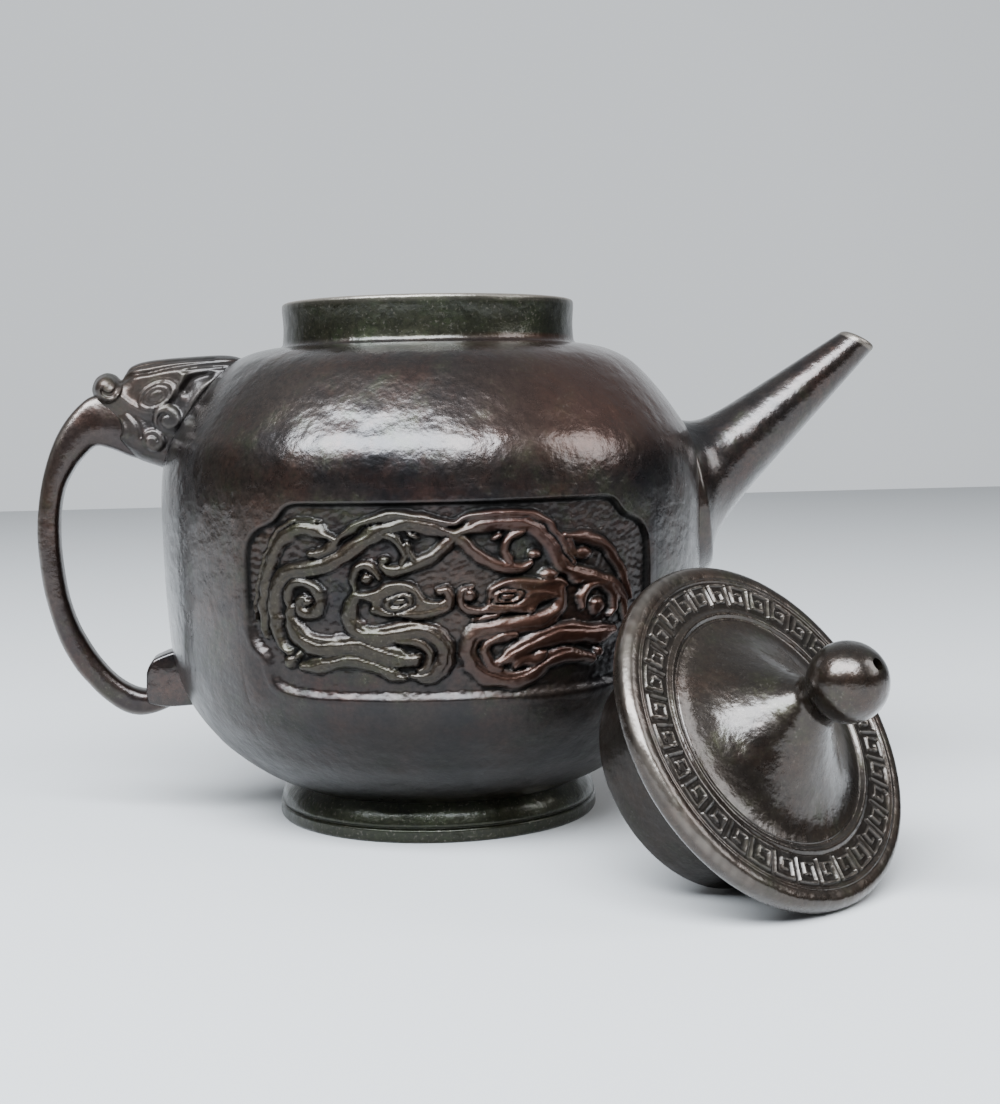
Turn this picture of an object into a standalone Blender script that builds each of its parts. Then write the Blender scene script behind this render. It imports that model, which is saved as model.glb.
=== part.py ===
"""Bronze ewer with its lid off, as a solid model in metres, +Z up.

The ewer is one casting: a hollow round body on a foot ring, a low neck, a straight tapered spout
at +X, and at -X a strap handle that comes out of a beast's head on the shoulder. A sunk panel with
two facing dragons is on the front (-Y), and a plainer one is on the back. The lid is the second
casting: a disc with a key-pattern band, a plug that drops into the neck, and a ball knob with a
vent. It lies on its side in front of the spout, on its rim and on the edge of its plug.
"""
import math

import bmesh
import bpy
from mathutils import Matrix, Vector

MM = 0.001

# Body, as a turned shape about the upright axis
BELLY_RADIUS = 68.4 * MM
WALL = 2.5 * MM
CUT_PAST = 5.0 * MM
FOOT_HEIGHT = 9.2 * MM
FOOT_RADIUS = 40.8 * MM
FOOT_RING_WIDTH = 4.6 * MM
FOOT_STEP_HEIGHT = 3.3 * MM
FOOT_GROOVE = 0.7 * MM
FOOT_WAIST_RADIUS = 38.0 * MM
BASE_THICKNESS = 3.0 * MM
BODY_HEIGHT = 109.6 * MM
NECK_RADIUS = 37.0 * MM
NECK_HEIGHT = 11.2 * MM
RIM_CHAMFER = 0.6 * MM
TURN_STEPS = 36
HOLLOW_TURN = math.pi / TURN_STEPS

# The belly's outline from the foot to the neck: share of its radius, share of its height
BELLY_OUTLINE = [
    (0.687, 0.044), (0.766, 0.080), (0.835, 0.122), (0.918, 0.196), (0.972, 0.290), (0.991, 0.409),
    (1.000, 0.555), (0.998, 0.682), (0.974, 0.774), (0.915, 0.844), (0.836, 0.907), (0.753, 0.959),
    (0.673, 0.985),
]

# Spout: a cone on a slanted axis, flared where it leaves the belly, with a slanted mouth
SPOUT_TIP_X = 113.3 * MM
SPOUT_TIP_Z = 119.3 * MM
SPOUT_SLOPE = math.radians(39.3)
SPOUT_TIP_RADIUS = 4.3 * MM
SPOUT_TAPER = 0.134
SPOUT_LENGTH = 78.0 * MM
SPOUT_LIP = 0.8 * MM
SPOUT_FLARE_STEPS = (7.0 * MM, 13.0 * MM, 19.0 * MM, 24.0 * MM)
BORE_PAST_TIP = 8.0 * MM
BORE_STEP = 14.0 * MM
SPOUT_FLARE_START = 50.0 * MM
SPOUT_FLARE = 10.0
SPOUT_WALL = 1.7 * MM
SPOUT_MOUTH_TILT = math.radians(22.0)
SPOUT_SIDES = 20

# Handle, drawn in millimetres as seen from the front: it stands out from the belly by HANDLE_REACH
HANDLE_REACH = 31.15 * MM
HANDLE_MIDDLE_Z = 72.0 * MM
DRAWN_BELLY = 68.4
DRAWN_REACH = 31.15
DRAWN_MIDDLE_Z = 72.0

# Strap: its middle line, with its thickness as a share of STRAP_THICKNESS
STRAP_THICKNESS = 5.7 * MM
STRAP_WIDTH = 7.6 * MM
STRAP_EDGE = 1.5 * MM
STRAP_LINE = [
    (-74.0, 98.6, 1.90), (-80.0, 99.8, 1.85), (-86.0, 99.4, 1.75), (-89.7, 97.2, 1.52),
    (-92.6, 92.8, 1.30), (-95.0, 86.2, 1.09), (-96.3, 80.0, 1.02), (-96.7, 73.0, 1.0),
    (-96.2, 63.0, 1.0), (-94.6, 55.3, 1.0), (-92.1, 47.6, 1.02), (-89.0, 41.6, 1.07),
    (-85.4, 36.8, 1.12), (-81.6, 33.0, 1.16), (-77.6, 30.5, 1.18), (-73.2, 30.2, 1.16),
    (-62.0, 35.0, 1.1),
]

# Block where the strap's lower end meets the belly, with a sloping top
BLOCK_WIDTH = 10.0 * MM
BLOCK_LINE = [(-62.0, 29.2), (-72.6, 30.0), (-73.6, 31.5), (-73.5, 38.2), (-71.4, 41.4), (-62.0, 43.2)]

# Beast's head on the shoulder: x, bottom, top and half width (a share of HEAD_WIDTH) of each section
HEAD_WIDTH = 17.6 * MM
HEAD_SECTIONS = [
    (-84.6, 101.5, 108.0, 0.24), (-82.0, 98.0, 110.5, 0.28), (-77.5, 94.4, 111.8, 0.32),
    (-74.0, 91.9, 115.2, 0.36), (-68.0, 89.6, 116.8, 0.42), (-61.0, 88.5, 117.2, 0.47),
    (-52.0, 90.5, 117.0, 0.50),
]
HEAD_SIDES = 10
CURL_SIDES = 10
# Round bosses right across the head: x, z, radius and half width
SNOUT_CURL = (-80.8, 109.6, 3.9, 0.33)
CHEEK_CURLS = [(-66.0, 101.5, 3.4, 0.48), (-69.3, 96.2, 2.9, 0.45)]
# Eyes: x, z, half length and half height of the almond, half widths of its foot and its top
EYE = (-68.6, 107.7, 5.2, 3.1, 0.44, 0.50)
EYE_TILT = math.radians(27.0)
EYE_TOP = 0.6

# Panels on the belly
PANEL_WIDTH = 103.0 * MM
PANEL_HEIGHT = 44.4 * MM
PANEL_MIDDLE_Z = 60.8 * MM
PANEL_DEPTH = 1.1 * MM
RELIEF_HEIGHT = 1.5 * MM
RELIEF_ROOT = 0.5 * MM
RIBBON_TOP_SHARE = 0.45
DRAWN_PANEL = (103.0, 44.4)
# Upper left quarter of the frame's stepped corner, and the lower left one, on the drawn panel
FRAME_TOP_CORNER = [(-51.5, 8.5), (-49.8, 13.6), (-47.0, 16.2), (-43.2, 17.2), (-41.4, 20.4), (-38.0, 22.2)]
FRAME_LOW_CORNER = [(-51.5, -7.0), (-49.9, -10.6), (-46.3, -13.4), (-45.9, -17.0), (-43.8, -20.4), (-39.0, -22.2)]

# Lines of the left dragon on the drawn panel: width, then points from the panel's middle
DRAGON = {
    "back": (3.0, [(-22.6, 3.0), (-24.2, -1.5), (-22.0, -6.0), (-17.0, -7.8), (-11.0, -7.0),
                   (-6.0, -7.9), (-3.4, -11.6), (-5.0, -15.3), (-9.6, -16.9), (-19.5, -13.8),
                   (-25.5, -12.8), (-36.8, -15.4)]),
    "belly": (2.8, [(-39.2, -2.3), (-37.4, -7.0), (-33.0, -9.8), (-27.0, -10.1), (-21.0, -10.5),
                    (-15.5, -12.1), (-11.2, -13.6)]),
    "mane": (3.0, [(-1.2, 15.4), (-6.0, 17.2), (-12.0, 17.4), (-17.0, 16.0), (-26.0, 9.5),
                   (-31.0, 7.7), (-37.0, 7.0), (-41.4, 4.6), (-43.2, 0.0), (-43.0, -6.0),
                   (-41.2, -10.6), (-37.6, -12.4)]),
    "crest": (1.9, [(-0.6, 18.2), (-6.0, 19.6), (-12.0, 20.1), (-18.0, 19.0), (-24.5, 14.6)]),
    "horn": (2.2, [(-25.5, 12.2), (-29.5, 15.4), (-34.0, 15.8), (-38.4, 13.6), (-42.6, 9.2),
                   (-46.2, 3.0), (-46.8, -3.5), (-45.6, -9.0)]),
    "horn_curl": (2.5, [(-26.4, 12.0), (-29.8, 10.9), (-33.8, 11.2)]),
    "tail": (2.2, [(1.6, 14.4), (-3.2, 11.9), (-7.0, 9.3), (-11.0, 7.6), (-14.8, 8.2), (-17.0, 10.2)]),
    "tail_spur": (1.7, [(-10.8, 8.6), (-11.2, 13.0)]),
    "brow": (1.8, [(-19.4, 2.6), (-16.0, 3.3), (-12.4, 4.5), (-9.0, 3.3), (-7.2, -0.2)]),
    "snout": (2.5, [(-19.6, -1.0), (-15.0, -2.5), (-9.0, -2.3), (-4.0, -1.7), (-1.7, 0.6), (-3.2, 2.6)]),
    "ear": (1.9, [(-23.4, 2.2), (-23.6, 5.0), (-20.8, 6.6), (-19.2, 4.8)]),
}
SWIRL_CENTRE = (-35.2, 0.6)
SWIRL_OUTER = 4.3
SWIRL_INNER = 1.6
SWIRL_START = math.radians(215.0)
SWIRL_SWEEP = math.radians(-390.0)
SWIRL_POINTS = 8
SWIRL_WIDTH = 2.1
EYE_ON_PANEL = (-12.6, 0.5, 2.6, 1.3)
BACK_LINES = ("back", "mane", "tail")

# Lid, turned about its own axis; heights from the plane of its face
LID_RADIUS = 39.0 * MM
LID_RIM_THICKNESS = 4.8 * MM
LID_MARGIN_RADIUS = 35.2 * MM
KEY_OUTER_RADIUS = 34.2 * MM
KEY_INNER_RADIUS = 28.4 * MM
KEY_DEPTH = 0.45 * MM
KEY_COUNT = 32
KEY_ROOT = 0.4 * MM
KEY_TOP_DROP = 0.05 * MM
KEY_BAR = 1.4 * MM
KEY_GAP = 0.5 * MM
LID_GROOVE_RADIUS = 26.2 * MM
DOME_RADIUS = 25.2 * MM
DOME_HEIGHT = 10.2 * MM
COLLAR_RADIUS = 8.3 * MM
STEM_RADIUS = 5.6 * MM
KNOB_RADIUS = 8.4 * MM
KNOB_CENTRE_HEIGHT = 22.2 * MM
VENT_RADIUS = 1.35 * MM
PLUG_RADIUS = 25.8 * MM
PLUG_TAPER = 1.8 * MM
PLUG_DEPTH = 26.4 * MM
PLUG_WALL = 2.4 * MM
PLUG_EDGE = 2.4 * MM
LID_PLATE = 2.6 * MM
UNDER_FILLET = 2.0 * MM
UNDER_REACH = 9.0 * MM
UNDER_RISE = 1.0 * MM
UNDER_TOP = 4.0 * MM
LID_STEPS = 32

# Where the lid lies: the middle of its face over the table, and the way its knob points
LID_X = 63.1 * MM
LID_Y = -94.6 * MM
LID_HEADING = math.radians(-52.6)

BRONZE = (0.045, 0.036, 0.030)
BRONZE_ROUGHNESS = 0.38
BRONZE_METALLIC = 0.85

NECK_BASE_Z = FOOT_HEIGHT + BODY_HEIGHT
RIM_Z = NECK_BASE_Z + NECK_HEIGHT


def clear_scene():
    for obj in list(bpy.data.objects):
        bpy.data.objects.remove(obj, do_unlink=True)


def new_collection(name):
    collection = bpy.data.collections.new(name)
    bpy.context.scene.collection.children.link(collection)
    return collection


def bronze(name):
    """Dark patinated bronze."""
    made = bpy.data.materials.new(name)
    made.use_nodes = True
    shader = made.node_tree.nodes["Principled BSDF"]
    shader.inputs["Base Color"].default_value = (*BRONZE, 1.0)
    shader.inputs["Roughness"].default_value = BRONZE_ROUGHNESS
    shader.inputs["Metallic"].default_value = BRONZE_METALLIC
    return made


def mesh_object(name, vertices, edges, faces, collection):
    mesh = bpy.data.meshes.new(name)
    mesh.from_pydata([tuple(v) for v in vertices], edges, faces)
    mesh.validate()
    obj = bpy.data.objects.new(name, mesh)
    collection.objects.link(obj)
    return obj


def as_helper(obj):
    """A shape that only adds to or cuts another one."""
    obj.hide_render = True
    obj.display_type = "WIRE"
    return obj


def boolean(target, other, operation, overlapping=False):
    """Joins or cuts target with other. overlapping says that other is made of shapes that cross."""
    modifier = target.modifiers.new(operation.lower(), "BOOLEAN")
    modifier.operation = operation
    modifier.object = other
    modifier.use_self = overlapping


def turned(name, profile, steps, collection):
    """A profile of (radius, height), from the axis inside to the axis outside, turned about Z."""
    points = [(radius, 0.0, height) for radius, height in profile]
    edges = [(i, i + 1) for i in range(len(points) - 1)]
    obj = mesh_object(name, points, edges, [], collection)
    screw = obj.modifiers.new("turn", "SCREW")
    screw.angle = 2.0 * math.pi
    screw.axis = "Z"
    screw.steps = steps
    screw.render_steps = steps
    screw.use_merge_vertices = True
    screw.merge_threshold = 0.00001
    screw.use_normal_calculate = True
    return obj


def face_outwards(mesh):
    work = bmesh.new()
    work.from_mesh(mesh)
    bmesh.ops.triangulate(work, faces=work.faces)
    bmesh.ops.recalc_face_normals(work, faces=work.faces)
    work.to_mesh(mesh)
    work.free()


def loft(name, rings, collection):
    """Closed solid through rings of points that all have the same number of points."""
    count = len(rings[0])
    vertices = [point for ring in rings for point in ring]
    faces = []
    for r in range(len(rings) - 1):
        for i in range(count):
            j = (i + 1) % count
            faces.append((r * count + i, r * count + j, (r + 1) * count + j, (r + 1) * count + i))
    faces.append(tuple(reversed(range(count))))
    faces.append(tuple(range((len(rings) - 1) * count, len(rings) * count)))
    obj = mesh_object(name, vertices, [], faces, collection)
    face_outwards(obj.data)
    return obj


def joined(name, pieces, collection):
    """One helper object that holds the meshes of several."""
    vertices = []
    faces = []
    for piece in pieces:
        start = len(vertices)
        vertices += [piece.matrix_world @ v.co for v in piece.data.vertices]
        faces += [tuple(start + i for i in polygon.vertices) for polygon in piece.data.polygons]
        bpy.data.objects.remove(piece, do_unlink=True)
    return as_helper(mesh_object(name, vertices, [], faces, collection))


def belly_profile():
    """Outline of the belly from the foot to the neck."""
    return [(share * BELLY_RADIUS, FOOT_HEIGHT + up * BODY_HEIGHT) for share, up in BELLY_OUTLINE]


def belly_radius(z):
    """The belly's outer radius at a height, between the outline's points."""
    profile = belly_profile()
    for (r0, z0), (r1, z1) in zip(profile, profile[1:]):
        if z0 <= z <= z1:
            return r0 + (r1 - r0) * (z - z0) / (z1 - z0)
    return profile[0][0] if z < profile[0][1] else profile[-1][0]


def inset(points, distance):
    """The points moved inwards by a distance, square to the outline."""
    moved = []
    for i in range(1, len(points) - 1):
        along_r = points[i + 1][0] - points[i - 1][0]
        along_z = points[i + 1][1] - points[i - 1][1]
        length = math.hypot(along_r, along_z)
        moved.append((points[i][0] - distance * along_z / length, points[i][1] + distance * along_r / length))
    return moved


def outside_profile():
    """The body's outer skin from the middle of the mouth, down its side, to the middle of the base."""
    recess_top = FOOT_HEIGHT - BASE_THICKNESS
    ring_inner = FOOT_RADIUS - FOOT_RING_WIDTH
    neck_and_rim = [
        (0.0, RIM_Z), (NECK_RADIUS - RIM_CHAMFER, RIM_Z), (NECK_RADIUS, RIM_Z - RIM_CHAMFER),
        (NECK_RADIUS - 0.3 * MM, RIM_Z - 0.5 * NECK_HEIGHT), (NECK_RADIUS, NECK_BASE_Z + 0.8 * MM),
        (NECK_RADIUS + 0.9 * MM, NECK_BASE_Z),
    ]
    foot = [
        (FOOT_WAIST_RADIUS, FOOT_HEIGHT), (FOOT_RADIUS - 1.3 * MM, FOOT_HEIGHT - 2.0 * MM),
        (FOOT_RADIUS - 0.2 * MM, FOOT_STEP_HEIGHT + 1.0 * MM), (FOOT_RADIUS - FOOT_GROOVE, FOOT_STEP_HEIGHT),
        (FOOT_RADIUS, FOOT_STEP_HEIGHT - 0.5 * MM), (FOOT_RADIUS, 0.5 * MM), (FOOT_RADIUS - 0.5 * MM, 0.0),
        (ring_inner, 0.0), (ring_inner - 0.8 * MM, recess_top), (0.0, recess_top),
    ]
    return neck_and_rim + list(reversed(belly_profile())) + foot


def inside_profile():
    """The hollow from the middle of the mouth to the middle of the floor, one wall inside the skin."""
    mouth_radius = NECK_RADIUS - WALL
    skin = [(FOOT_WAIST_RADIUS, FOOT_HEIGHT)] + belly_profile() + [(NECK_RADIUS, NECK_BASE_Z)]
    hollow = list(reversed(inset(skin, WALL)))[::2]
    above = RIM_Z + CUT_PAST
    floor_z = FOOT_HEIGHT
    return ([(0.0, above), (mouth_radius, above), (mouth_radius, NECK_BASE_Z - 0.5 * WALL)]
            + [point for point in hollow if point[0] > mouth_radius + 1.0 * MM]
            + [(0.85 * FOOT_WAIST_RADIUS, floor_z + 0.6 * MM), (0.0, floor_z)])


def on_belly(across, z, lift):
    """A point on the front of the belly: across is measured round it, lift is out from its skin."""
    angle = across / BELLY_RADIUS
    radius = belly_radius(z) + lift
    return Vector((radius * math.sin(angle), -radius * math.cos(angle), z))


def panel_point(drawn_across, drawn_up):
    """Real size and place of a point of the drawn panel."""
    return (drawn_across * PANEL_WIDTH / DRAWN_PANEL[0],
            PANEL_MIDDLE_Z + drawn_up * PANEL_HEIGHT / DRAWN_PANEL[1])


def frame_heights(across):
    """Lowest and highest points of the panel's frame at a place across it."""
    def read(corner, place):
        place = -abs(place)
        for (x0, y0), (x1, y1) in zip(corner, corner[1:]):
            if x0 <= place <= x1:
                return y0 + (y1 - y0) * (place - x0) / (x1 - x0)
        return corner[-1][1]
    return read(FRAME_LOW_CORNER, across), read(FRAME_TOP_CORNER, across)


def panel_sinking(name, collection):
    """The cutter that sinks a panel: columns from its floor to outside the belly."""
    half = [x for x, _ in FRAME_TOP_CORNER] + [x for x, _ in FRAME_LOW_CORNER[1:-1]]
    edge = FRAME_TOP_CORNER[-1][0]
    between = [edge * i / 4.0 for i in range(4)]
    left = sorted(set(half + between))
    places = left + [-x for x in reversed(left) if x < 0.0]
    levels = 4
    rings = []
    for across in places:
        low, high = frame_heights(across)
        ring = []
        for i in range(levels):
            s, z = panel_point(across, low + (high - low) * i / (levels - 1))
            ring.append(on_belly(s, z, -PANEL_DEPTH))
        s, z_high = panel_point(across, high)
        s, z_low = panel_point(across, low)
        ring.append(on_belly(s, z_high, CUT_PAST))
        ring.append(on_belly(s, z_low, CUT_PAST))
        rings.append(ring)
    return as_helper(loft(name, rings, collection))


def ribbon(name, width, points, mirrored, collection):
    """One raised line of a dragon: a bar with sloping sides along its points on the panel's floor."""
    side = -1.0 if mirrored else 1.0
    path = [panel_point(side * x, y) for x, y in points]
    rings = []
    for i, (s, z) in enumerate(path):
        before = path[max(i - 1, 0)]
        after = path[min(i + 1, len(path) - 1)]
        ds, dz = after[0] - before[0], after[1] - before[1]
        length = math.hypot(ds, dz)
        end = i in (0, len(path) - 1)
        half = 0.5 * width * MM * (0.55 if end else 1.0)
        top = half * RIBBON_TOP_SHARE
        height = RELIEF_HEIGHT * (0.55 if end else 1.0) - PANEL_DEPTH
        ring = []
        for offset, lift in ((-half, -PANEL_DEPTH - RELIEF_ROOT), (-top, height), (top, height),
                             (half, -PANEL_DEPTH - RELIEF_ROOT)):
            ring.append(on_belly(s - dz / length * offset, z + ds / length * offset, lift))
        rings.append(ring)
    return loft(name, rings, collection)


def swirl_points():
    """The curl by a dragon's haunch: a spiral that winds in from its outer radius."""
    points = []
    for i in range(SWIRL_POINTS):
        share = i / (SWIRL_POINTS - 1)
        angle = SWIRL_START + SWIRL_SWEEP * share
        radius = SWIRL_OUTER + (SWIRL_INNER - SWIRL_OUTER) * share
        points.append((SWIRL_CENTRE[0] + radius * math.cos(angle), SWIRL_CENTRE[1] + radius * math.sin(angle)))
    return points


def panel_relief(name, lines, collection):
    """Both dragons of one panel, as bars that are joined to its floor."""
    bars = []
    for mirrored in (False, True):
        for line in lines:
            width, points = DRAGON[line]
            bars.append(ribbon(line, width, points, mirrored, collection))
        bars.append(ribbon("swirl", SWIRL_WIDTH, swirl_points(), mirrored, collection))
        x, y, half_long, half_high = EYE_ON_PANEL
        eye = [(x - half_long, y), (x, y), (x + half_long, y)]
        bars.append(ribbon("eye", 2.0 * half_high, eye, mirrored, collection))
    return joined(name, bars, collection)


def drawn(x, z, y=0.0):
    """A point of the drawn handle at its real size and place."""
    out = BELLY_RADIUS + (-x - DRAWN_BELLY) * HANDLE_REACH / DRAWN_REACH
    return Vector((-out, y, z * HANDLE_MIDDLE_Z / DRAWN_MIDDLE_Z))


def strap_section(centre, across_direction, thickness):
    """Section of the strap: a rectangle with cut corners, square to its middle line."""
    half_thick = 0.5 * thickness
    half_wide = 0.5 * STRAP_WIDTH
    corners = [
        (half_thick, half_wide - STRAP_EDGE), (half_thick - STRAP_EDGE, half_wide),
        (STRAP_EDGE - half_thick, half_wide), (-half_thick, half_wide - STRAP_EDGE),
        (-half_thick, STRAP_EDGE - half_wide), (STRAP_EDGE - half_thick, -half_wide),
        (half_thick - STRAP_EDGE, -half_wide), (half_thick, STRAP_EDGE - half_wide),
    ]
    return [centre + across_direction * out + Vector((0.0, y, 0.0)) for out, y in corners]


def strap(collection):
    """The handle's strap."""
    path = [drawn(x, z) for x, z, _ in STRAP_LINE]
    rings = []
    for i, point in enumerate(path):
        along = (path[min(i + 1, len(path) - 1)] - path[max(i - 1, 0)]).normalized()
        thickness = STRAP_THICKNESS * STRAP_LINE[i][2]
        rings.append(strap_section(point, Vector((-along.z, 0.0, along.x)), thickness))
    return loft("strap", rings, collection)


def block(collection):
    """The block under the strap's lower end."""
    half = 0.5 * BLOCK_WIDTH
    return loft("block", [[drawn(x, z, y) for x, z in BLOCK_LINE] for y in (-half, half)], collection)


def boss(name, middle, half_long, half_high, tilt, widths, shrink, collection):
    """An oval bar right across the head: widths are its half widths, shrink its size at each of them."""
    rings = []
    for y, share in zip(widths, shrink):
        ring = []
        for i in range(CURL_SIDES):
            angle = 2.0 * math.pi * i / CURL_SIDES
            along = share * half_long * math.cos(angle)
            up = share * half_high * math.sin(angle)
            ring.append(drawn(middle[0] + along * math.cos(tilt) - up * math.sin(tilt),
                              middle[1] + along * math.sin(tilt) + up * math.cos(tilt), y * HEAD_WIDTH))
        rings.append(ring)
    return loft(name, rings, collection)


def head(collection):
    """The beast's head: rounded sections from its snout to inside the shoulder."""
    rings = []
    for x, low, high, half in HEAD_SECTIONS:
        ring = []
        for i in range(HEAD_SIDES):
            angle = 2.0 * math.pi * (i + 0.5) / HEAD_SIDES
            side = math.copysign(abs(math.cos(angle)) ** 0.7, math.cos(angle))
            up = math.copysign(abs(math.sin(angle)) ** 0.7, math.sin(angle))
            ring.append(drawn(x, 0.5 * (low + high) + 0.5 * (high - low) * up, half * HEAD_WIDTH * side))
        rings.append(ring)
    return loft("head", rings, collection)


def handle(collection):
    """Strap, block, head, curls and eyes, to be joined to the body."""
    x, z, half_long, half_high, foot, top = EYE
    pieces = [strap(collection), block(collection), head(collection)]
    pieces.append(boss("eyes", (x, z), half_long, half_high, EYE_TILT, (-top, -foot, foot, top),
                       (EYE_TOP, 1.0, 1.0, EYE_TOP), collection))
    for x, z, radius, half in [SNOUT_CURL] + CHEEK_CURLS:
        pieces.append(boss("curl", (x, z), radius, radius, 0.0, (-half, half), (1.0, 1.0), collection))
    return joined("handle", pieces, collection)


def spout_point(back):
    """Middle of the spout at a distance back from its tip."""
    return Vector((SPOUT_TIP_X - back * math.cos(SPOUT_SLOPE), 0.0, SPOUT_TIP_Z - back * math.sin(SPOUT_SLOPE)))


def spout_radius(back):
    """The spout's outer radius at a distance back from its tip."""
    flare = max(0.0, back - SPOUT_FLARE_START)
    return SPOUT_TIP_RADIUS + SPOUT_TAPER * back + SPOUT_FLARE * flare * flare


def spout_ring(back, radius, tilt):
    """A ring of the spout. tilt leans it about the Y axis, so that its top lies further back."""
    along = Vector((math.cos(SPOUT_SLOPE), 0.0, math.sin(SPOUT_SLOPE)))
    up = Vector((-math.sin(SPOUT_SLOPE), 0.0, math.cos(SPOUT_SLOPE)))
    centre = spout_point(back)
    ring = []
    for i in range(SPOUT_SIDES):
        angle = 2.0 * math.pi * i / SPOUT_SIDES
        rise = radius * math.cos(angle)
        ring.append(centre + up * rise - along * rise * math.tan(tilt) + Vector((0.0, radius * math.sin(angle), 0.0)))
    return ring


def spout(collection):
    """The spout's outside, from its slanted mouth to inside the belly."""
    stations = [0.0, SPOUT_LIP, SPOUT_FLARE_START] + [SPOUT_FLARE_START + step for step in SPOUT_FLARE_STEPS]
    rings = []
    for back in stations:
        radius = spout_radius(back) - (0.7 * MM if back == 0.0 else 0.0)
        near_tip = max(0.0, 1.0 - back / SPOUT_FLARE_START)
        rings.append(spout_ring(back, radius, SPOUT_MOUTH_TILT * near_tip))
    return as_helper(loft("spout", rings, collection))


def spout_bore(collection):
    """The channel through the spout into the body."""
    rings = []
    for back in (-BORE_PAST_TIP, 0.0, SPOUT_FLARE_START, SPOUT_FLARE_START + BORE_STEP, SPOUT_LENGTH):
        rings.append(spout_ring(back, SPOUT_TIP_RADIUS + SPOUT_TAPER * back - SPOUT_WALL, 0.0))
    return as_helper(loft("spout_bore", rings, collection))


def make_ewer(parts, helpers):
    """The ewer: outer skin, panels, spout and handle joined, then the hollow and the channel cut."""
    ewer = turned("ewer", outside_profile(), TURN_STEPS, parts)
    half_turn = Matrix.Rotation(math.pi, 4, "Z")
    for side, lines in (("front", tuple(DRAGON)), ("back", BACK_LINES)):
        sinking = panel_sinking(side + "_sinking", helpers)
        relief = panel_relief(side + "_relief", lines, helpers)
        if side == "back":
            sinking.data.transform(half_turn)
            relief.data.transform(half_turn)
        boolean(ewer, sinking, "DIFFERENCE")
        boolean(ewer, relief, "UNION", overlapping=True)
    boolean(ewer, spout(helpers), "UNION")
    boolean(ewer, handle(helpers), "UNION", overlapping=True)
    hollow = as_helper(turned("hollow", inside_profile(), TURN_STEPS, helpers))
    hollow.rotation_euler.z = HOLLOW_TURN
    boolean(ewer, hollow, "DIFFERENCE")
    boolean(ewer, spout_bore(helpers), "DIFFERENCE")
    ewer.data.materials.append(bronze("ewer_bronze"))
    return ewer


def knob_arc(start, end, count):
    """Points of the knob's outline between two angles from its equator."""
    points = []
    for i in range(count):
        angle = start + (end - start) * i / (count - 1)
        points.append((KNOB_RADIUS * math.cos(angle), KNOB_CENTRE_HEIGHT + KNOB_RADIUS * math.sin(angle)))
    return points


def dome_height(radius):
    """Height of the lid's smooth middle: it sweeps up from the groove to the collar."""
    share = (DOME_RADIUS - radius) / (DOME_RADIUS - COLLAR_RADIUS)
    return DOME_HEIGHT * share ** 1.6


def lid_profile():
    """Closed outline of the lid, from the vent's top, down the outside, round the plug and back."""
    seat = -LID_RIM_THICKNESS
    inner = PLUG_RADIUS - PLUG_WALL
    end = -PLUG_DEPTH
    top_of_knob = math.acos(VENT_RADIUS / KNOB_RADIUS)
    foot_of_knob = -math.acos(STEM_RADIUS / KNOB_RADIUS)
    dome = [(r, dome_height(r)) for r in
            [COLLAR_RADIUS + (DOME_RADIUS - COLLAR_RADIUS) * i / 4.0 for i in range(4)]]
    face = [
        (DOME_RADIUS, -0.3 * MM), (LID_GROOVE_RADIUS, -0.3 * MM), (LID_GROOVE_RADIUS + 0.4 * MM, 0.0),
        (KEY_INNER_RADIUS, 0.0), (KEY_INNER_RADIUS, -KEY_DEPTH), (KEY_OUTER_RADIUS, -KEY_DEPTH),
        (KEY_OUTER_RADIUS, 0.0), (LID_MARGIN_RADIUS + 1.4 * MM, 0.0), (LID_RADIUS - 0.5 * MM, -1.2 * MM),
        (LID_RADIUS, -2.2 * MM), (LID_RADIUS, seat + 0.5 * MM), (LID_RADIUS - 0.5 * MM, seat),
    ]
    plug = [
        (PLUG_RADIUS + PLUG_TAPER, seat), (PLUG_RADIUS, end + PLUG_EDGE),
        (PLUG_RADIUS - 0.3 * PLUG_EDGE, end + 0.3 * PLUG_EDGE), (PLUG_RADIUS - PLUG_EDGE, end),
        (inner - PLUG_EDGE + 1.0 * MM, end), (inner, end + PLUG_EDGE), (inner + PLUG_TAPER, seat - 0.6 * MM),
    ]
    under = [(inner - UNDER_FILLET, -LID_PLATE), (VENT_RADIUS + UNDER_REACH, UNDER_RISE),
             (VENT_RADIUS, UNDER_TOP)]
    return (knob_arc(top_of_knob, foot_of_knob, 7) + [(STEM_RADIUS, DOME_HEIGHT + 2.4 * MM)]
            + dome + face + plug + under)


def resting_tilt(profile):
    """Tilt of the lid's axis above level when it lies on its rim and on the edge of its plug."""
    split = -0.5 * (LID_RIM_THICKNESS + PLUG_DEPTH)
    rim = [p for p in profile if split < p[1] <= 0.0]
    plug = [p for p in profile if p[1] <= split]
    low, high = 0.0, 0.5 * math.pi
    for _ in range(40):
        tilt = 0.5 * (low + high)
        rim_reach = max(r * math.cos(tilt) - h * math.sin(tilt) for r, h in rim)
        plug_reach = max(r * math.cos(tilt) - h * math.sin(tilt) for r, h in plug)
        if plug_reach > rim_reach:
            high = tilt
        else:
            low = tilt
    return low, rim_reach


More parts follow.
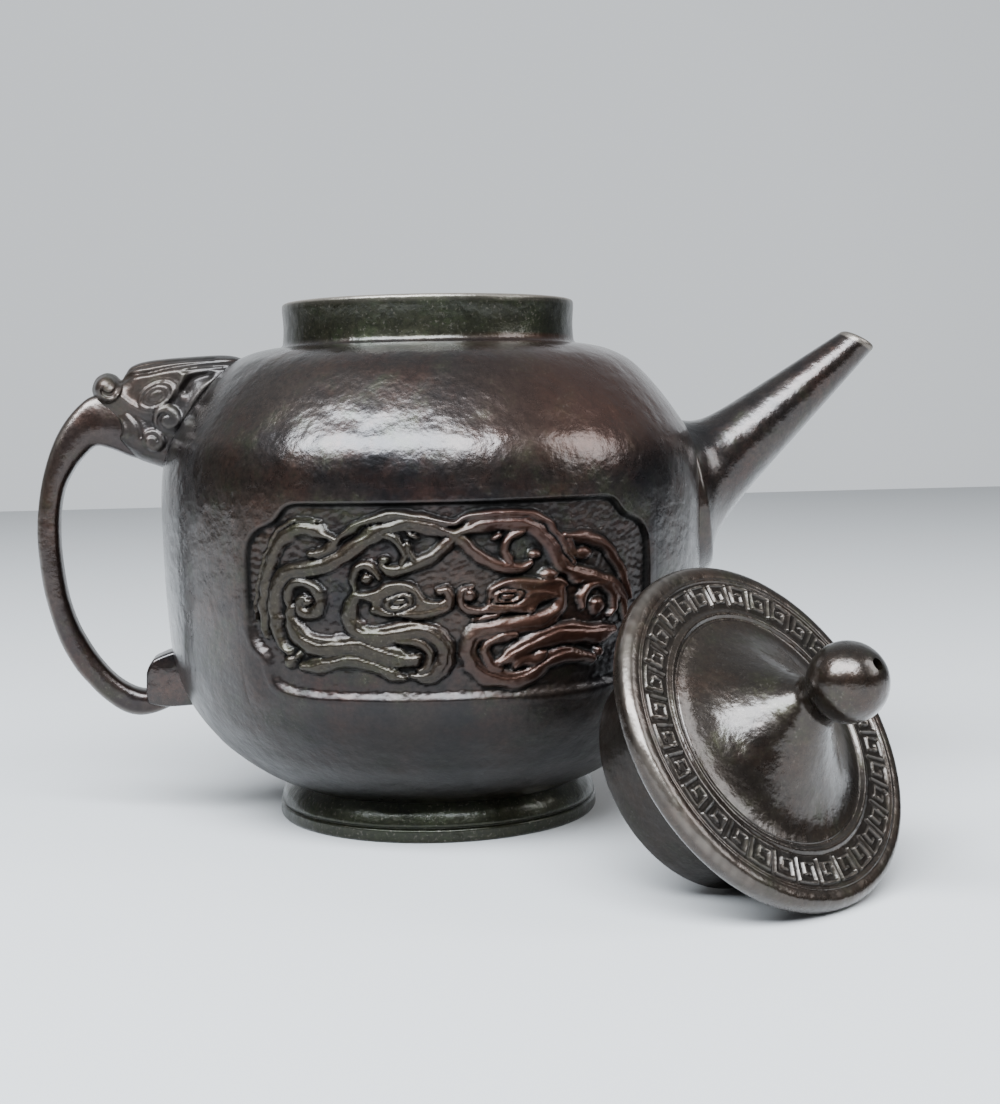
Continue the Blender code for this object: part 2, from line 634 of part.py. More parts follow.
def make_lid(parts, helpers):
    """The lid, lying where it was put down."""
    profile = lid_profile()
    lid = turned("lid", profile + [profile[0]], LID_STEPS, parts)
    keys = key_bars(helpers)
    boolean(lid, keys, "UNION", overlapping=True)
    tilt, height = resting_tilt(profile)
    axis = Vector((math.cos(tilt) * math.cos(LID_HEADING), math.cos(tilt) * math.sin(LID_HEADING), math.sin(tilt)))
    down = (axis * axis.z - Vector((0.0, 0.0, 1.0))).normalized()
    side = axis.cross(down)
    turn = Matrix((down, side, axis)).transposed().to_4x4()
    lid.matrix_world = Matrix.Translation((LID_X, LID_Y, height)) @ turn
    keys.matrix_world = lid.matrix_world.copy()
    lid.data.materials.append(bronze("lid_bronze"))
    return lid


def key_bars(collection):
    """The key pattern: one hook for each of its squares, on the sunk floor of the band."""
    middle = 0.5 * (KEY_INNER_RADIUS + KEY_OUTER_RADIUS)
    pitch = 2.0 * math.pi * middle / KEY_COUNT
    reach = 0.5 * (KEY_OUTER_RADIUS - KEY_INNER_RADIUS)
    bars = []
    for key in range(KEY_COUNT):
        turn = Matrix.Rotation(2.0 * math.pi * key / KEY_COUNT, 4, "Z")
        hook = [(KEY_GAP - reach, -0.36 * pitch), (KEY_GAP - reach, 0.36 * pitch), (reach - KEY_GAP, 0.36 * pitch),
                (reach - KEY_GAP, 0.36 * pitch - KEY_BAR), (KEY_GAP + KEY_BAR - reach, 0.36 * pitch - KEY_BAR),
                (KEY_GAP + KEY_BAR - reach, -0.36 * pitch)]
        rings = []
        for height in (-KEY_DEPTH - KEY_ROOT, -KEY_TOP_DROP):
            rings.append([turn @ Vector((middle + out, across, height)) for across, out in hook])
        bars.append(loft("key", rings, collection))
    return joined("key_bars", bars, collection)


def stand_on_origin(objects):
    """Moves everything so that the origin is under the middle of the set, on the table."""
    bpy.context.view_layer.update()
    graph = bpy.context.evaluated_depsgraph_get()
    corners = []
    for obj in objects:
        solid = obj.evaluated_get(graph)
        mesh = solid.to_mesh()
        corners += [solid.matrix_world @ v.co for v in mesh.vertices]
        solid.to_mesh_clear()
    low = Vector([min(c[i] for c in corners) for i in range(3)])
    high = Vector([max(c[i] for c in corners) for i in range(3)])
    anchor = bpy.data.objects.new("ewer_and_lid", None)
    for obj in bpy.data.objects:
        if obj.type == "MESH":
            obj.parent = anchor
    objects[0].users_collection[0].objects.link(anchor)
    anchor.location = (-0.5 * (low.x + high.x), -0.5 * (low.y + high.y), -low.z)


def main():
    clear_scene()
    parts = new_collection("bronze_ewer")
    helpers = new_collection("helpers")
    stand_on_origin([make_ewer(parts, helpers), make_lid(parts, helpers)])


main()
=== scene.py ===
"""Bronze ewer with its lid lying beside it: the look of the part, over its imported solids.

Every piece is a surface worked out with numpy in millimetres, in ewer coordinates: the axis of the
ewer is x = y = 0, the table is z = 0, the spout points to +X and the front panel to -Y. put_mesh
turns that into metres in the frame.
"""
import math

import bmesh
import bpy
import numpy as np
from mathutils import Matrix, Vector


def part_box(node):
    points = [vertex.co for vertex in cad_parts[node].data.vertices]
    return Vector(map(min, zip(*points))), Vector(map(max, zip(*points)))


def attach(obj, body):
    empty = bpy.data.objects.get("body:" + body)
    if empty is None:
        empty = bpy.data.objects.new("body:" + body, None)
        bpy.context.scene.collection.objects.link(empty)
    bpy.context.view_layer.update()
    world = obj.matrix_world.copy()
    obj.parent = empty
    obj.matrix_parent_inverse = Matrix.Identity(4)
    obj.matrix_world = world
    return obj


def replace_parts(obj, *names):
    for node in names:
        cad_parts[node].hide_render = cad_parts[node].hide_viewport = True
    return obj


bl_info = {
    "name": "Bronze Ewer",
    "version": (1, 0, 0),
    "blender": (4, 5, 0),
    "location": "3D View > Sidebar > Ewer",
    "description": "Builds a cast bronze ewer with dragon panels, a beast-head handle and its lid",
    "category": "Add Mesh",
}

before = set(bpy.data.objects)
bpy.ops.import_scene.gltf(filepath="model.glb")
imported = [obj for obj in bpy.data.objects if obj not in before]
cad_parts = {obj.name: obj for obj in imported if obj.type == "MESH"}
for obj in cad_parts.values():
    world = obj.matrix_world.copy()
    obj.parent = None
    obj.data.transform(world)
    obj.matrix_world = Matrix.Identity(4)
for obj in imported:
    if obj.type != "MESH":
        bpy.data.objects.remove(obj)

MM = 0.001
EWER_LOW, EWER_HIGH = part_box("ewer")

# The strap's back is this far from the ewer's axis, which is how the axis is found in the frame
STRAP_REACH = 99.55
AXIS = np.array((EWER_LOW.x + STRAP_REACH * MM, 0.5 * (EWER_LOW.y + EWER_HIGH.y), EWER_LOW.z))

# Body
BELLY = [
    (38.0, 9.2), (42.6, 11.4), (47.2, 14.1), (52.6, 18.2), (57.1, 22.6), (62.8, 30.7), (66.5, 41.0),
    (67.8, 54.0), (68.35, 70.0), (68.3, 84.0), (66.7, 93.9), (62.7, 101.0), (57.2, 108.4), (51.5, 114.2),
    (46.0, 117.2), (41.0, 118.5), (37.9, 118.8)
]
NECK_BASE = 118.8
RIM_HEIGHT = 130.0
NECK_RADIUS = 37.0
FLOOR_HEIGHT = 9.2
FOOT_RADIUS = 40.8
FOOT_INNER = 36.2
FOOT_CEILING = 6.2
BODY_COLUMNS = 288

# Panels: the slab that carries each relief, measured round the belly and in height
SLAB_HALF = 56.0
SLAB_LOW = 33.0
SLAB_HIGH = 88.0
SLAB_STEP = 0.36
BACK_STEP = 0.5
SLAB_INNER = -2.3
# Within this border of the slab's edge the slab dips to the body's skin. Further in, the skin sinks under it
SLAB_BORDER = 3.3
BODY_SUNK = -1.9
SEAM_LIFT = 0.02
SEAM_DIP = 0.08
PANEL_FLOOR = -1.4
RELIEF_TOP = 0.25
FRAME_BEAD = 0.16
# How far the dragons' lines stray from their drawn course
WANDER = 0.22
# Lines are this much wider than drawn, and have a groove when their half width passes RIBBON_GROOVED
RIBBON_FULLNESS = 1.4
RIBBON_GROOVED = 2.1
PANEL_RADIUS = 68.3
# Half of the frame's outline from the top middle round to the bottom middle
FRAME_HALF = [
    (0.0, 82.9), (37.0, 82.9), (39.6, 82.2), (41.0, 80.6), (42.2, 78.9), (44.0, 78.2), (46.8, 77.4),
    (49.4, 75.6), (51.0, 73.0), (51.5, 69.5), (51.5, 55.0), (50.9, 51.8), (49.3, 49.6), (46.9, 48.0),
    (46.0, 46.5), (46.1, 43.8), (45.0, 41.6), (43.2, 40.2), (40.0, 39.3), (33.0, 38.7), (0.0, 38.6)
]

# Dragon lines: half width in mm, then points across the panel and in height
LEFT_DRAGON = {
    "mane": (1.55, [
        (1.0, 75.2), (-2.7, 76.4), (-6.0, 77.4), (-9.3, 78.0), (-12.7, 77.9), (-16.0, 76.9),
        (-19.3, 75.1), (-22.7, 72.9), (-26.0, 70.8), (-29.3, 69.2), (-32.7, 68.4), (-36.0, 68.0),
        (-39.3, 67.2), (-41.6, 65.6), (-43.0, 63.0), (-43.5, 59.0), (-43.3, 55.2), (-42.2, 51.8),
        (-40.2, 49.4)]),
    "crest": (0.85, [
        (-26.2, 74.9), (-24.3, 76.3), (-21.0, 78.0), (-17.7, 79.3), (-14.3, 80.0), (-11.0, 80.0),
        (-7.0, 79.3), (-2.7, 78.3), (0.0, 78.1)]),
    "horn": (1.3, [
        (-26.6, 74.2), (-29.3, 75.9), (-31.8, 76.8), (-35.2, 77.0), (-38.1, 76.3), (-40.4, 74.9),
        (-42.2, 72.6), (-43.9, 69.6), (-45.3, 66.0), (-46.2, 61.5), (-46.5, 57.0), (-46.0, 52.6)]),
    "horn_line": (0.45, [
        (-30.6, 78.4), (-33.6, 79.0), (-37.2, 78.8), (-40.4, 77.4), (-43.0, 74.6), (-45.6, 70.0),
        (-48.2, 62.0), (-48.6, 56.0)]),
    "horn_hook": (1.0, [(-26.8, 74.2), (-28.2, 72.9), (-30.4, 71.8), (-32.6, 71.4)]),
    "knot": (1.15, [
        (1.0, 75.4), (-1.6, 73.8), (-3.8, 71.8), (-6.4, 70.2), (-9.2, 68.9), (-12.0, 68.0),
        (-14.6, 67.9), (-16.4, 69.0)]),
    "knot_curl": (0.9, [(-16.6, 76.0), (-14.2, 75.4), (-12.2, 73.6), (-11.3, 71.4), (-11.9, 69.2)]),
    "knot_spur": (0.7, [(-8.9, 69.4), (-10.0, 71.2), (-10.6, 74.0)]),
    "ear_stem": (0.85, [
        (-22.6, 63.6), (-23.2, 65.6), (-22.4, 68.0), (-20.2, 69.0), (-18.0, 68.0), (-17.2, 66.0)]),
    "neck": (1.75, [
        (-22.4, 62.4), (-23.9, 60.1), (-24.2, 57.4), (-23.3, 55.3), (-21.5, 54.0), (-19.0, 53.4),
        (-16.0, 53.5), (-12.7, 54.1), (-9.3, 54.5), (-6.0, 53.9), (-3.8, 52.3), (-2.7, 49.7),
        (-3.2, 47.0), (-4.9, 45.0), (-7.4, 44.1), (-10.2, 44.2)]),
    "inner_neck": (0.95, [
        (-13.4, 52.2), (-10.0, 52.2), (-7.2, 51.0), (-6.1, 48.6), (-6.8, 46.4), (-8.6, 45.9)]),
    "body": (1.95, [
        (-38.8, 59.2), (-38.9, 56.6), (-37.6, 53.7), (-35.0, 51.5), (-31.8, 50.6), (-28.5, 51.0),
        (-25.2, 51.2), (-21.8, 50.8), (-18.5, 50.0), (-15.2, 48.9), (-11.8, 48.0), (-9.4, 48.0)]),
    "belly": (1.55, [
        (-36.4, 45.9), (-33.5, 46.2), (-30.2, 47.0), (-26.8, 47.8), (-23.5, 47.9), (-20.2, 47.2),
        (-16.8, 45.9), (-14.3, 44.7), (-12.4, 43.9)]),
    "swirl": (1.15, [
        (-38.9, 59.0), (-39.4, 62.0), (-38.2, 64.4), (-35.5, 65.1), (-32.7, 64.0), (-31.3, 61.7),
        (-31.8, 59.2), (-34.0, 57.9), (-36.2, 58.7), (-36.6, 60.8), (-35.2, 61.8)]),
    "brow": (0.9, [
        (-22.8, 62.8), (-20.6, 62.2), (-18.2, 62.7), (-15.6, 64.0), (-12.6, 64.5), (-10.0, 63.7),
        (-8.4, 61.9), (-6.4, 60.5), (-4.2, 60.5)]),
    "snout": (0.9, [
        (-4.4, 63.3), (-2.6, 63.5), (-1.4, 62.2), (-1.8, 60.2), (-3.6, 58.8), (-7.5, 58.2),
        (-12.0, 58.0)]),
}
RIGHT_DRAGON = {
    "mane": (1.55, [
        (-1.0, 75.2), (2.3, 76.4), (5.7, 77.6), (9.8, 78.0), (14.0, 77.7), (17.3, 76.8), (19.6, 75.2),
        (21.7, 72.9), (23.4, 70.3), (25.2, 67.8), (27.8, 65.9), (31.0, 65.0), (34.4, 64.4), (38.2, 63.0),
        (41.0, 60.8), (42.9, 57.6), (43.4, 54.4)]),
    "crest": (0.85, [
        (0.0, 78.1), (2.6, 78.9), (6.0, 79.7), (10.7, 80.1), (15.7, 79.7), (19.2, 78.8), (21.8, 77.3),
        (23.8, 75.0), (25.8, 71.6), (28.0, 68.2)]),
    "horn": (1.2, [
        (25.6, 74.6), (28.6, 73.7), (32.0, 73.6), (35.4, 72.5), (38.2, 70.3), (40.7, 67.4), (42.9, 63.6),
        (44.6, 59.0)]),
    "horn_hook": (0.9, [(26.0, 74.0), (27.4, 71.4), (28.6, 69.6)]),
    "knot": (1.15, [
        (-1.0, 75.4), (1.7, 74.1), (3.4, 72.1), (6.2, 70.0), (9.0, 68.7), (11.9, 67.9), (14.8, 67.6),
        (17.2, 68.6)]),
    "knot_curl": (0.95, [(15.6, 75.6), (12.6, 75.0), (11.2, 72.8), (11.4, 70.4), (13.0, 68.6)]),
    "neck": (1.75, [
        (24.8, 62.9), (25.0, 60.0), (23.2, 57.3), (19.6, 55.7), (15.0, 55.0), (10.0, 54.6), (5.9, 54.0),
        (3.5, 52.6), (2.6, 50.2), (3.1, 47.2), (5.2, 44.8), (9.2, 43.1), (13.4, 42.5), (16.7, 43.2),
        (19.2, 44.9), (22.1, 46.7), (25.9, 47.4), (30.0, 47.0), (33.6, 45.9)]),
    "body": (1.95, [
        (9.6, 46.6), (12.5, 48.0), (15.9, 49.7), (19.2, 51.0), (23.4, 52.0), (27.5, 52.3), (32.5, 51.6),
        (36.7, 51.4), (39.8, 52.0)]),
    "inner_neck": (1.05, [(13.6, 52.6), (10.0, 52.5), (7.4, 51.4), (6.4, 49.0), (7.4, 46.6), (9.8, 45.2)]),
    "claw": (1.05, [(13.0, 45.6), (15.0, 47.2), (18.4, 46.8), (20.6, 48.2)]),
    "swirl": (1.1, [
        (30.3, 57.8), (30.4, 60.6), (32.4, 62.6), (35.6, 63.0), (38.6, 61.6), (39.9, 58.8), (38.9, 55.6)]),
    "brow": (0.9, [
        (7.4, 60.8), (8.2, 62.9), (10.6, 64.2), (14.6, 64.4), (19.0, 64.0), (23.0, 64.4), (25.8, 63.4)]),
    "cheek": (0.9, [(15.8, 61.4), (18.6, 61.8), (21.6, 61.6), (24.4, 60.6)]),
    "snout": (0.8, [
        (3.6, 63.6), (1.4, 63.0), (0.9, 60.8), (2.2, 59.0), (5.2, 58.6), (9.0, 58.3), (12.6, 58.9),
        (15.4, 59.2)]),
    "chin": (0.5, [(3.6, 56.3), (7.0, 57.0), (9.6, 57.2)]),
}
# Round and almond bosses: across, height, half length, half width, tilt in degrees
BOSSES = [
    (-20.0, 66.2, 1.7, 1.6, 0.0), (-16.0, 70.2, 1.6, 1.3, -10.0), (-9.3, 75.4, 1.7, 0.75, -20.0),
    (-33.0, 71.4, 1.7, 1.0, 5.0), (-37.6, 48.5, 1.3, 1.1, 30.0), (-39.8, 47.2, 2.0, 1.7, 0.0),
    (-34.6, 60.6, 1.7, 1.5, 20.0), (-13.4, 46.9, 2.2, 0.8, -8.0), (-3.6, 63.0, 1.3, 0.9, 20.0),
    (-18.6, 59.2, 1.1, 1.1, 0.0), (21.7, 65.9, 3.1, 1.6, 2.0), (18.0, 70.6, 1.9, 1.3, 8.0),
    (9.0, 74.8, 1.6, 0.9, 32.0), (30.6, 70.2, 2.8, 1.9, -3.0), (3.0, 61.8, 1.7, 1.5, 20.0),
    (34.6, 58.0, 2.5, 2.3, 0.0), (17.0, 58.2, 1.5, 1.2, 0.0), (29.2, 63.8, 1.5, 0.6, 0.0),
    (35.2, 47.3, 1.7, 1.3, 0.0)
]
# Flat of each head, under its brow, eye and jaw
HEADS = [
    [(-23.2, 63.0), (-21.0, 62.3), (-18.5, 62.7), (-16.0, 63.9), (-13.1, 64.5), (-10.2, 64.0),
     (-8.5, 62.6), (-7.0, 61.1), (-5.0, 60.6), (-3.2, 61.6), (-1.6, 62.4), (-1.3, 60.5), (-2.7, 58.6),
     (-6.0, 57.6), (-11.0, 57.4), (-16.0, 57.6), (-19.3, 58.1), (-19.0, 60.1), (-21.6, 61.0)],
    [(0.8, 60.6), (2.2, 59.8), (5.7, 59.8), (7.6, 60.8), (8.2, 62.6), (10.2, 64.1), (14.2, 64.5),
     (19.0, 64.2), (24.8, 64.4), (26.0, 62.9), (25.2, 60.2), (22.0, 59.6), (18.6, 59.4), (18.6, 57.6),
     (15.6, 57.0), (12.3, 57.8), (9.0, 57.2), (4.0, 57.4), (1.6, 58.4)],
]
# Almond eyes: across, height, half length, half height, tilt in degrees
EYES = [(-12.7, 61.0, 2.9, 1.5, 4.0), (11.7, 61.6, 3.0, 1.35, 3.0)]
BACK_LINES = ("neck", "body", "belly", "mane", "horn", "knot", "snout", "brow")

# Spout
TIP = (113.3, 119.3)
SPOUT_SLOPE = math.radians(39.3)
TIP_RADIUS = 4.3
SPOUT_TAPER = 0.134
SPOUT_LENGTH = 76.0
ROOT_FLARE = 6.0
ROOT_REACH = 3.6
MOUTH_TILT = math.radians(22.0)
TILT_REACH = 45.0
BORE_TIP = 2.7
BORE_TAPER = 0.125
SPOUT_COLUMNS = 96
SPOUT_ROWS = 150
# Last rows before the mouth, by distance from the tip, and how much narrower each is: they round the lip
LIP_BACKS = (0.8, 0.45, 0.18, 0.0)
LIP_DROPS = (-0.05, -0.2, -0.5, -0.95)

# Strap: outer edge and inner edge of its side view, and half of its width along it
STRAP_OUTER = [
    (-73.0, 104.0), (-79.5, 108.4), (-84.5, 107.9), (-88.2, 105.4), (-92.0, 101.0), (-95.0, 95.5),
    (-97.5, 88.0), (-99.0, 80.0), (-99.5, 72.0), (-98.8, 62.0), (-97.5, 55.0), (-95.0, 46.4),
    (-91.5, 39.5), (-88.0, 35.0), (-84.6, 31.4), (-80.2, 28.1), (-76.0, 26.8), (-71.5, 27.4),
    (-66.0, 29.6), (-60.0, 32.4)
]
STRAP_INNER = [
    (-69.0, 91.0), (-75.0, 92.2), (-80.8, 94.6), (-84.2, 95.2), (-87.0, 93.0), (-89.8, 89.5),
    (-92.3, 84.6), (-93.6, 78.0), (-93.8, 70.0), (-93.1, 62.0), (-92.0, 56.0), (-89.9, 49.8),
    (-86.5, 43.5), (-83.2, 39.0), (-80.2, 36.1), (-77.0, 34.1), (-73.6, 33.2), (-70.0, 33.4),
    (-65.0, 35.0), (-58.0, 37.4)
]
STRAP_WIDTH = [(0.0, 4.4), (0.1, 4.5), (0.2, 4.1), (0.35, 3.8), (0.6, 3.8), (0.8, 4.0), (1.0, 4.3)]

# Head: top edge and bottom edge of its side view, and half of its width
HEAD_TOP = [
    (-84.3, 107.4), (-84.7, 109.6), (-83.6, 112.2), (-81.2, 113.5), (-78.9, 113.0), (-77.4, 111.7),
    (-76.4, 113.0), (-74.6, 115.1), (-70.0, 116.4), (-60.0, 117.2), (-50.0, 117.3), (-44.0, 115.0)
]
HEAD_BOTTOM = [
    (-83.9, 106.4), (-82.4, 104.7), (-80.4, 103.0), (-78.9, 101.4), (-78.3, 99.4), (-78.9, 97.4),
    (-77.5, 94.6), (-74.0, 91.9), (-69.2, 90.0), (-64.0, 88.4), (-54.0, 87.0), (-46.0, 87.0)
]
HEAD_WIDTH = [(-85.0, 4.6), (-80.0, 5.2), (-74.0, 6.2), (-67.0, 7.2), (-60.0, 8.2), (-50.0, 9.2)]

HEAD_ROWS = 150
HEAD_COLUMNS = 110
# Width over which the head swells from its edges
HEAD_ROUNDING = 4.2
EYE_TILT = 28.0
# Scrolls of the head: height, then middle, radius, turns and start
HEAD_SWIRLS = [(1.9, (-80.6, 109.7, 4.0, 0.85, 0.1)), (1.5, (-65.9, 101.8, 3.8, 0.9, 0.45)),
               (1.3, (-69.3, 96.5, 3.1, 0.8, 0.6))]
# Rings cut round the eye: share of its radius, depth
EYE_RINGS = ((0.84, 0.42), (0.58, 0.36), (0.34, 0.3))
# Carved lines of the head: points, half width, height (below zero for a groove)
HEAD_LINES = [
    ([(-77.4, 111.0), (-74.6, 112.6), (-70.0, 113.3), (-64.0, 114.5), (-56.0, 115.3),
      (-48.0, 115.6)], 0.55, -1.0),
    ([(-75.6, 113.9), (-71.0, 115.1), (-64.0, 116.0), (-54.0, 116.5)], 0.4, -0.6),
    ([(-61.5, 113.4), (-57.0, 114.0), (-50.0, 114.2)], 0.45, -0.6),
    ([(-77.4, 107.6), (-74.6, 105.4), (-71.0, 103.6), (-68.6, 104.0), (-65.0, 106.6), (-62.6, 110.2),
      (-61.4, 112.8)], 0.95, 0.75),
    ([(-61.4, 108.8), (-59.0, 111.4), (-55.6, 112.4)], 1.2, -1.3),
    ([(-63.0, 99.0), (-60.6, 103.6), (-57.6, 108.0), (-54.0, 111.0), (-48.0, 113.0)], 1.1, 0.9),
    ([(-83.4, 105.6), (-80.6, 103.6), (-78.2, 101.6), (-76.8, 99.2), (-77.6, 97.0)], 1.0, 1.0),
    ([(-81.4, 102.4), (-79.4, 100.6), (-78.4, 98.6)], 0.45, -0.7),
    ([(-75.6, 103.6), (-73.2, 100.8), (-72.4, 97.6)], 0.5, -0.35),
]

# Lid
# Underside of the flange, which rests on the neck's rim
LID_SEAT = -4.8
PLUG_END = -26.4
KNOB_CENTRE = 22.2
KNOB_RADIUS = 8.4
KEY_INNER = 28.5
KEY_OUTER = 34.2
KEY_COUNT = 32
KEY_RIDGE = 0.6
LID_COLUMNS = 576
LID_MIDDLE_X = 63.1
LID_MIDDLE_Y = -94.6
LID_HEADING = math.radians(-52.6)

# Points nearer than this become one
WELD = 0.004

# What each point of a surface says of its finish: rubbed, with a painted highlight on the lid's rim and the
# strap's edges; red-brown; green; painted shade, and a darkening of the lower belly; unpolished
MARKS = ("worn", "tone", "moss", "dirt", "matt")

# Camera, in ewer coordinates
CAMERA_PLACE = (-31.3, -436.6, 103.0)
CAMERA_YAW = math.radians(-6.349)
CAMERA_PITCH = math.radians(4.857)
CAMERA_ROLL = math.radians(-1.107)
CAMERA_LENS = 55.43
FLOOR_SIZE = 3.0
# Strength of the room's light: facing side, behind the ewer, overhead
ROOM_DIM = 0.08
ROOM_BEHIND = 1.0
ROOM_ABOVE = 0.5


def linear(hex_colour):
    """sRGB hex to linear red, green, blue."""
    values = [int(hex_colour[i:i + 2], 16) / 255.0 for i in (1, 3, 5)]
    return tuple(v / 12.92 if v <= 0.04045 else ((v + 0.055) / 1.055) ** 2.4 for v in values)


def columns_at(places, gone, table):
    """The columns of a table at places along it, where its rows are at gone."""
    return np.stack([np.interp(places, gone, column) for column in table.T], axis=1)


def lengths_along(line):
    """Length gone at each point of a line."""
    return np.concatenate(((0.0,), np.cumsum(np.linalg.norm(np.diff(line, axis=0), axis=1))))


def turned_about(radius, angle, height):
    """Points at a radius, an angle and a height about the axis."""
    return np.stack((radius * np.cos(angle), radius * np.sin(angle), height), axis=-1)


def round_angles(count):
    """Equal steps once round."""
    return np.linspace(0.0, 2.0 * math.pi, count, endpoint=False)


def smooth_line(points, step):
    """Catmull-Rom curve through the points, sampled every step.

    Between b and c, with a before and d after, it is half of
    2b + (c - a)t + (2a - 5b + 4c - d)t^2 + (3b - a - 3c + d)t^3.
    """
    p = np.asarray(points, float)
    p = np.vstack((2.0 * p[0] - p[1], p, 2.0 * p[-1] - p[-2]))
    a, b, c, d = p[:-3, None], p[1:-2, None], p[2:-1, None], p[3:, None]
    t = np.linspace(0.0, 1.0, 24, endpoint=False)[None, :, None]
    curve = 0.5 * (2.0 * b + (c - a) * t + (2.0 * a - 5.0 * b + 4.0 * c - d) * t ** 2
                   + (3.0 * b - a - 3.0 * c + d) * t ** 3)
    curve = np.vstack((curve.reshape(-1, p.shape[1]), p[-2]))
    gone = lengths_along(curve)
    places = np.linspace(0.0, gone[-1], max(2, int(round(gone[-1] / step)) + 1))
    return columns_at(places, gone, curve)


def smooth_step(x, low, high):
    """0 below low, 1 above high, 3t2 - 2t3 between."""
    t = np.clip((x - low) / (high - low), 0.0, 1.0)
    return t * t * (3.0 - 2.0 * t)


def line_reach(across, up, line):
    """Distance of every grid point from a line, which side it is on, and the share of the way along."""
    start, step = line[:-1], np.diff(line, axis=0)
    size = np.maximum((step ** 2).sum(axis=1), 1e-12)
    px = across.reshape(-1, 1) - start[None, :, 0]
    pz = up.reshape(-1, 1) - start[None, :, 1]
    t = np.clip((px * step[:, 0] + pz * step[:, 1]) / size, 0.0, 1.0)
    away = (px - t * step[:, 0]) ** 2 + (pz - t * step[:, 1]) ** 2
    nearest = np.argmin(away, axis=1)
    rows = np.arange(len(nearest))
    side = np.sign(step[nearest, 0] * pz[rows, nearest] - step[nearest, 1] * px[rows, nearest])
    share = (nearest + t[rows, nearest]) / len(step)
    shape = across.shape
    return np.sqrt(away[rows, nearest]).reshape(shape), side.reshape(shape), share.reshape(shape)


def grid_faces(rows, columns, wrap_rows, wrap_columns):
    """Corner numbers of the quads between neighbouring points of a grid."""
    r = np.arange(rows if wrap_rows else rows - 1)[:, None]
    c = np.arange(columns if wrap_columns else columns - 1)[None, :]
    r2 = (r + 1) % rows
    c2 = (c + 1) % columns
    quads = np.stack((r * columns + c, r * columns + c2, r2 * columns + c2, r2 * columns + c), axis=-1)
    return quads.reshape(-1, 4)


def put_mesh(name, points, faces, sharp=math.radians(50.0), **marks):
    """A closed bronze mesh from points in mm: welded, turned outwards, shaded smooth and put in the frame."""
    where = points.reshape(-1, 3) * MM + AXIS
    mesh = bpy.data.meshes.new(name)
    mesh.vertices.add(len(where))
    mesh.vertices.foreach_set("co", where.astype(np.float32).ravel())
    mesh.loops.add(faces.size)
    mesh.loops.foreach_set("vertex_index", faces.astype(np.int32).ravel())
    mesh.polygons.add(len(faces))
    mesh.polygons.foreach_set("loop_start", np.arange(0, faces.size, 4, dtype=np.int32))
    mesh.update(calc_edges=True)
    for label in MARKS:
        layer = mesh.attributes.new(label, "FLOAT", "POINT")
        values = np.broadcast_to(marks.get(label, 0.0), points.shape[:-1])
        layer.data.foreach_set("value", values.astype(np.float32).ravel())
    work = bmesh.new()
    work.from_mesh(mesh)
    bmesh.ops.remove_doubles(work, verts=work.verts, dist=WELD * MM)
    bmesh.ops.recalc_face_normals(work, faces=work.faces)
    work.to_mesh(mesh)
    work.free()
    mesh.polygons.foreach_set("use_smooth", np.ones(len(mesh.polygons), dtype=bool))
    mesh.set_sharp_from_angle(angle=sharp)
    mesh.materials.append(bronze())
    piece = bpy.data.objects.new(name, mesh)
    bpy.context.scene.collection.objects.link(piece)
    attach(piece, "root")
    return piece


def blurred(field, times):
    """The field averaged with its neighbours, times over."""
    for _ in range(times):
        padded = np.pad(field, 1, mode="edge")
        field = 0.2 * (field + padded[:-2, 1:-1] + padded[2:, 1:-1] + padded[1:-1, :-2] + padded[1:-1, 2:])
    return field


def add_node(tree, kind, inputs=None, links=None, **settings):
    """Adds one node: its settings, the values of its inputs, and the sockets linked into it."""
    node = tree.nodes.new(kind)
    for key, value in settings.items():
        setattr(node, key, value)
    for key, value in (inputs or {}).items():
        node.inputs[key].default_value = value
    for key, socket in (links or {}).items():
        tree.links.new(socket, node.inputs[key])
    return node


def grey(value):
    """A grey of one value."""
    return (value, value, value)


def arithmetic(tree, operation, values, sockets, **settings):
    """One sum or comparison: values and sockets say what goes into each input."""
    node = add_node(tree, "ShaderNodeMath", operation=operation, inputs=values, links=sockets, **settings)
    return node.outputs[0]


def ramp(tree, factor, stops):
    """A colour ramp with (place, colour) stops."""
    node = add_node(tree, "ShaderNodeValToRGB", links={"Fac": factor})
    marks = node.color_ramp.elements
    while len(marks) < len(stops):
        marks.new(0.5)
    for mark, (place, colour) in zip(marks, stops):
        mark.position = place
        mark.color = (*colour, 1.0)
    return node.outputs["Color"]


def mixed(tree, factor, first, second, blend="MIX"):
    """Mix of two colours: each is a socket or a colour."""
    node = add_node(tree, "ShaderNodeMix", data_type="RGBA", blend_type=blend)
    for key, value in ((0, factor), (6, first), (7, second)):
        if isinstance(value, bpy.types.NodeSocket):
            tree.links.new(value, node.inputs[key])
        elif isinstance(value, float):
            node.inputs[key].default_value = value
        else:
            node.inputs[key].default_value = (*value, 1.0)
    return node.outputs[2]


def noise(tree, coordinates, size_mm, detail=4.0, roughness=0.55, offset=(0.0, 0.0, 0.0)):
    """Noise whose blotches are about size_mm across."""
    moved = add_node(tree, "ShaderNodeMapping", inputs={"Location": offset}, links={"Vector": coordinates})
    inputs = {"Scale": 1.0 / (size_mm * MM), "Detail": detail, "Roughness": roughness}
    node = add_node(tree, "ShaderNodeTexNoise", inputs=inputs, links={"Vector": moved.outputs[0]})
    return node.outputs["Fac"]


